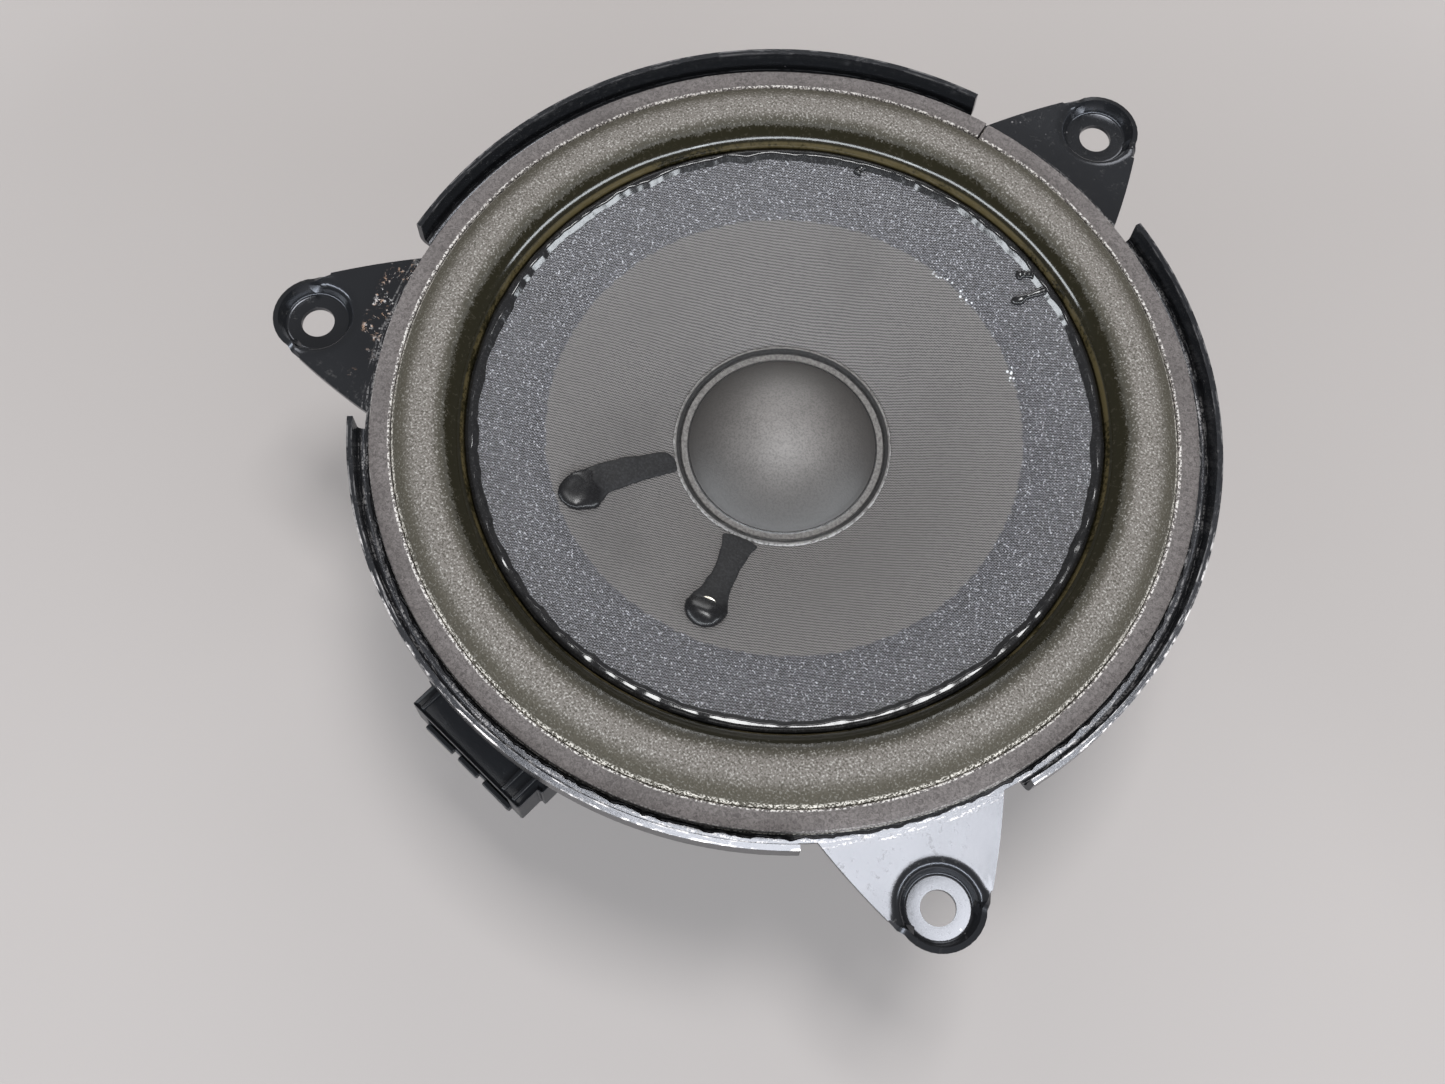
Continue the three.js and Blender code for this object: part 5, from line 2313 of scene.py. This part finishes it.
@dataclass
class Connector:
    """Moulded connector: a socket block on a neck with two feet, and its two blades."""

    block_depth: float = 17.0
    neck_half: float = 9.0
    foot_height: float = 2.5
    socket_half: float = 11.1
    socket_wall: float = 2.2
    socket_depth: float = 14.0
    side_step: float = 1.1
    step_depth: float = 5.0
    lip: float = 0.9
    lip_height: float = 1.6
    lip_lap: float = 0.3
    panel_half: float = 11.6
    panel_sink: float = 0.6
    rib_half: float = 0.45
    rib_length: float = 14.0
    tab_half: float = 2.6
    tab_gap: float = 1.6
    foot_lap: float = 0.4
    panel_edge: float = 0.9
    arris: float = 0.3
    blade_arris: float = 0.15

    def build(self, finishes: Finishes) -> None:
        """Make the housing and the blades.

        Args:
            finishes: The driver's finishes.
        """
        low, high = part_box("connector_housing")
        low, high = low / MM, high / MM
        mesh = bmesh.new()
        face = low + Vector((0, self.lip, 0))
        self._block(mesh, face, high)
        self._trim(mesh, low, high)
        back = low.y + self.block_depth
        for side in (-1, 1):
            inner, outer = side * (self.neck_half - self.foot_lap), side * high.x
            foot_low = (min(inner, outer), back - self.foot_lap, low.z)
            slab(mesh, foot_low, (max(inner, outer), high.y, low.z + self.foot_height))
        piece = finished(mesh, "moulded_connector", finishes[Slot.PLASTIC])
        bevelled(piece, self.arris)
        settled(piece, Body.FIXED, Slot.PLASTIC, "connector_housing")
        for number in (1, 2):
            self._blade(number, finishes)

    def _block(self, mesh: bmesh.types.BMesh, low: Vector, high: Vector) -> None:
        """Extrude the block with its neck, then sink the socket into its face.

        Args:
            mesh: The housing's mesh.
            low: The housing's lowest corner.
            high: Its highest corner.
        """
        half, back = high.x, low.y - self.lip + self.block_depth
        step_at = low.y + self.step_depth
        right = [
            (half - self.side_step, low.y),
            (half - self.side_step, step_at),
            (half, step_at),
            (half, back),
            (self.neck_half, back),
            (self.neck_half, high.y),
        ]
        outline = right + [(-x, y) for x, y in right[::-1]]
        floor = [mesh.verts.new((x, y, low.z)) for x, y in outline]
        base = mesh.faces.new(floor)
        raised = bmesh.ops.extrude_face_region(mesh, geom=[base])["geom"]
        lifted = [v for v in raised if isinstance(v, bmesh.types.BMVert)]
        bmesh.ops.translate(mesh, vec=(0, 0, high.z - low.z), verts=lifted)
        bmesh.ops.recalc_face_normals(mesh, faces=mesh.faces[:])
        front = min(mesh.faces, key=lambda f: f.calc_center_median().y)
        bmesh.ops.inset_region(mesh, faces=[front], thickness=self.socket_wall)
        mouth = max(
            (f for f in mesh.faces if f.normal.y < -0.9 and f.calc_center_median().y < low.y + 0.1),
            key=lambda f: f.calc_area(),
        )
        for vertex in mouth.verts:
            vertex.co.x = math.copysign(self.socket_half, vertex.co.x)
        sunk = bmesh.ops.extrude_face_region(mesh, geom=[mouth])["geom"]
        inner = [v for v in sunk if isinstance(v, bmesh.types.BMVert)]
        bmesh.ops.translate(mesh, vec=(0, self.socket_depth, 0), verts=inner)
        if mouth.is_valid:
            bmesh.ops.delete(mesh, geom=[mouth], context="FACES_ONLY")
        roof = max(mesh.faces, key=lambda f: (round(f.calc_center_median().z, 3), f.calc_area()))
        bmesh.ops.inset_region(
            mesh, faces=[roof], thickness=self.panel_edge, depth=-self.panel_sink
        )

    def _trim(self, mesh: bmesh.types.BMesh, low: Vector, high: Vector) -> None:
        """Add the lip under the mouth and the ribs across the roof.

        Args:
            mesh: The housing's mesh.
            low: The housing's lowest corner.
            high: Its highest corner.
        """
        face = low.y + self.lip
        near, far = self.tab_half + self.tab_gap, self.panel_half
        for inner, outer in ((-far, -near), (-self.tab_half, self.tab_half), (near, far)):
            lip_low = (inner, low.y, low.z + self.lip_lap)
            lip_high = (outer, face + self.lip_lap, low.z + self.lip_lap + self.lip_height)
            slab(mesh, lip_low, lip_high)
        for middle in (-far - 0.8, far - 2.0, far + 0.8):
            rib_low = (middle - self.rib_half, face + 0.5, high.z - self.panel_sink - 0.2)
            rib_high = (middle + self.rib_half, face + 0.5 + self.rib_length, high.z)
            slab(mesh, rib_low, rib_high)

    def _blade(self, number: int, finishes: Finishes) -> None:
        """Make one contact blade as a box with rounded edges.

        Args:
            number: Which blade.
            finishes: The driver's finishes.
        """
        node = f"contact_blade_{number}"
        low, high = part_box(node)
        mesh = bmesh.new()
        slab(mesh, low / MM, high / MM)
        piece = finished(mesh, f"brass_blade_{number}", finishes[Slot.BRASS])
        bevelled(piece, self.blade_arris)
        settled(piece, Body.FIXED, Slot.BRASS, node)


# ---------------------------------------------------------------------------
# Stage
# ---------------------------------------------------------------------------


@dataclass
class Stage:
    """Pale floor, the overhead light, three low windows, a lamp on the far side, the camera."""

    floor_size: float = 3.0
    key_direction: Corner = (-0.035, 0.155, 0.987)
    key_distance: float = 1.5
    key_size: float = 0.44
    key_power: float = 11.5
    window_angles: tuple[float, ...] = (254.0, 311.0, 8.0)
    window_lift: float = 27.0
    window_size: tuple[float, float] = (1.5, 0.2)
    window_power: float = 12.5
    window_tint: Colour = (0.9, 0.95, 1.0)
    side_direction: Corner = (-0.53, 0.63, 0.57)
    side_distance: float = 0.62
    side_size: tuple[float, float] = (0.34, 0.2)
    side_power: float = 0.95
    world_strength: float = 0.2
    world_tint: Colour = (1.0, 0.985, 0.97)
    eye: Corner = (81.68, -111.39, 360.58)
    right: Corner = (0.71814, 0.69553, 0.02265)
    up: Corner = (-0.65687, 0.66675, 0.35209)
    lens: float = 42.51

    def build(self) -> None:
        """Set up the floor, the lights and the camera."""
        self._floor()
        self._lights()
        self._camera()
        bpy.context.scene.view_settings.view_transform = "Standard"

    def _floor(self) -> None:
        """Lay the floor at the magnet's foot."""
        mesh = bmesh.new()
        bmesh.ops.create_grid(mesh, x_segments=4, y_segments=4, size=self.floor_size / 2 / MM)
        floor = finished(mesh, "studio_floor", StudioFloor().material(), outward=False)

    def _lights(self) -> None:
        """Hang the overhead light, the low windows, and the lamp on the far side."""
        square = (self.key_size, self.key_size)
        far, near = self.key_distance, self.side_distance
        lift = math.radians(self.window_lift)
        self._lamp("key_light", self.key_direction, far, square, self.key_power)
        self._lamp("side_light", self.side_direction, near, self.side_size, self.side_power)
        for number, angle in enumerate(self.window_angles, 1):
            towards = (*on_circle(math.cos(lift), angle), math.sin(lift))
            name = f"window_light_{number}"
            power, tint = self.window_power, self.window_tint
            self._lamp(name, towards, far, self.window_size, power, tint)
        world = bpy.data.worlds.new("studio_world")
        world.use_nodes = True
        background = world.node_tree.nodes["Background"]
        background.inputs["Color"].default_value = (*self.world_tint, 1.0)
        background.inputs["Strength"].default_value = self.world_strength
        bpy.context.scene.world = world

    def _lamp(
        self,
        name: str,
        towards: Sequence[float],
        distance: float,
        size: Point,
        power: float,
        tint: Colour = (1.0, 1.0, 1.0),
    ) -> None:
        """Hang one soft light.

        Args:
            name: Its name.
            towards: Where it hangs, seen from the driver.
            distance: How far away it hangs, in metres.
            size: Its width and height, in metres.
            power: Its power, in watts.
            tint: Its colour.
        """
        data = bpy.data.lights.new(name, "AREA")
        data.shape = "RECTANGLE"
        data.size, data.size_y = size
        data.energy = power
        data.color = tint
        lamp = bpy.data.objects.new(name, data)
        place = Vector(towards).normalized() * distance
        lamp.location = place
        lamp.rotation_euler = place.to_track_quat("Z", "Y").to_euler()
        bpy.context.scene.collection.objects.link(lamp)

    def _camera(self) -> None:
        """Place the camera above the ears' right-hand side."""
        data = bpy.data.cameras.new("camera")
        data.lens = self.lens
        data.sensor_width = 36.0
        data.sensor_fit = "HORIZONTAL"
        camera = bpy.data.objects.new("camera", data)
        right, up = Vector(self.right), Vector(self.up)
        axes = Matrix((right, up, right.cross(up))).transposed()
        camera.matrix_world = Matrix.Translation(Vector(self.eye) * MM) @ axes.to_4x4()
        bpy.context.scene.collection.objects.link(camera)
        bpy.context.scene.camera = camera


# ---------------------------------------------------------------------------
# The whole driver
# ---------------------------------------------------------------------------


FINISHES: dict[Slot, Finish] = {
    Slot.STEEL: PlatedSteel(),
    Slot.FERRITE: Ferrite(),
    Slot.PAINT: GlossPaint(),
    Slot.FIBRE: GasketFibre(),
    Slot.FOAM: SurroundFoam(),
    Slot.WEAVE: ConeWeave(),
    Slot.GLUE: BlackGlue(),
    Slot.CAP: CapSkin(),
    Slot.FILM: Film(),
    Slot.COPPER: CopperWinding(),
    Slot.COTTON: DippedCotton(),
    Slot.PLASTIC: MouldedPlastic(),
    Slot.BRASS: TinnedBrass(),
    Slot.BRAID: TinselBraid(),
}


def main() -> None:
    """Build the driver and its stage."""
    logging.basicConfig(level=logging.INFO, format="%(name)s: %(message)s")
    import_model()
    Stage().build()
    finishes = {slot: finish.material() for slot, finish in FINISHES.items()}
    Basket().build(finishes)
    Gasket().build(finishes)
    cone = Cone()
    Surround().build(cone, finishes)
    cone.build(finishes)
    DustCap().build(cone, finishes)
    ConeGlue().build(cone, finishes)
    VoiceCoil().build(finishes)
    Spider().build(finishes)
    for number in (1, 2):
        TinselLead(number).build(cone, finishes)
    Motor().build(finishes)
    Rivets().build(finishes)
    Connector().build(finishes)


if __name__ == "__main__":
    main()
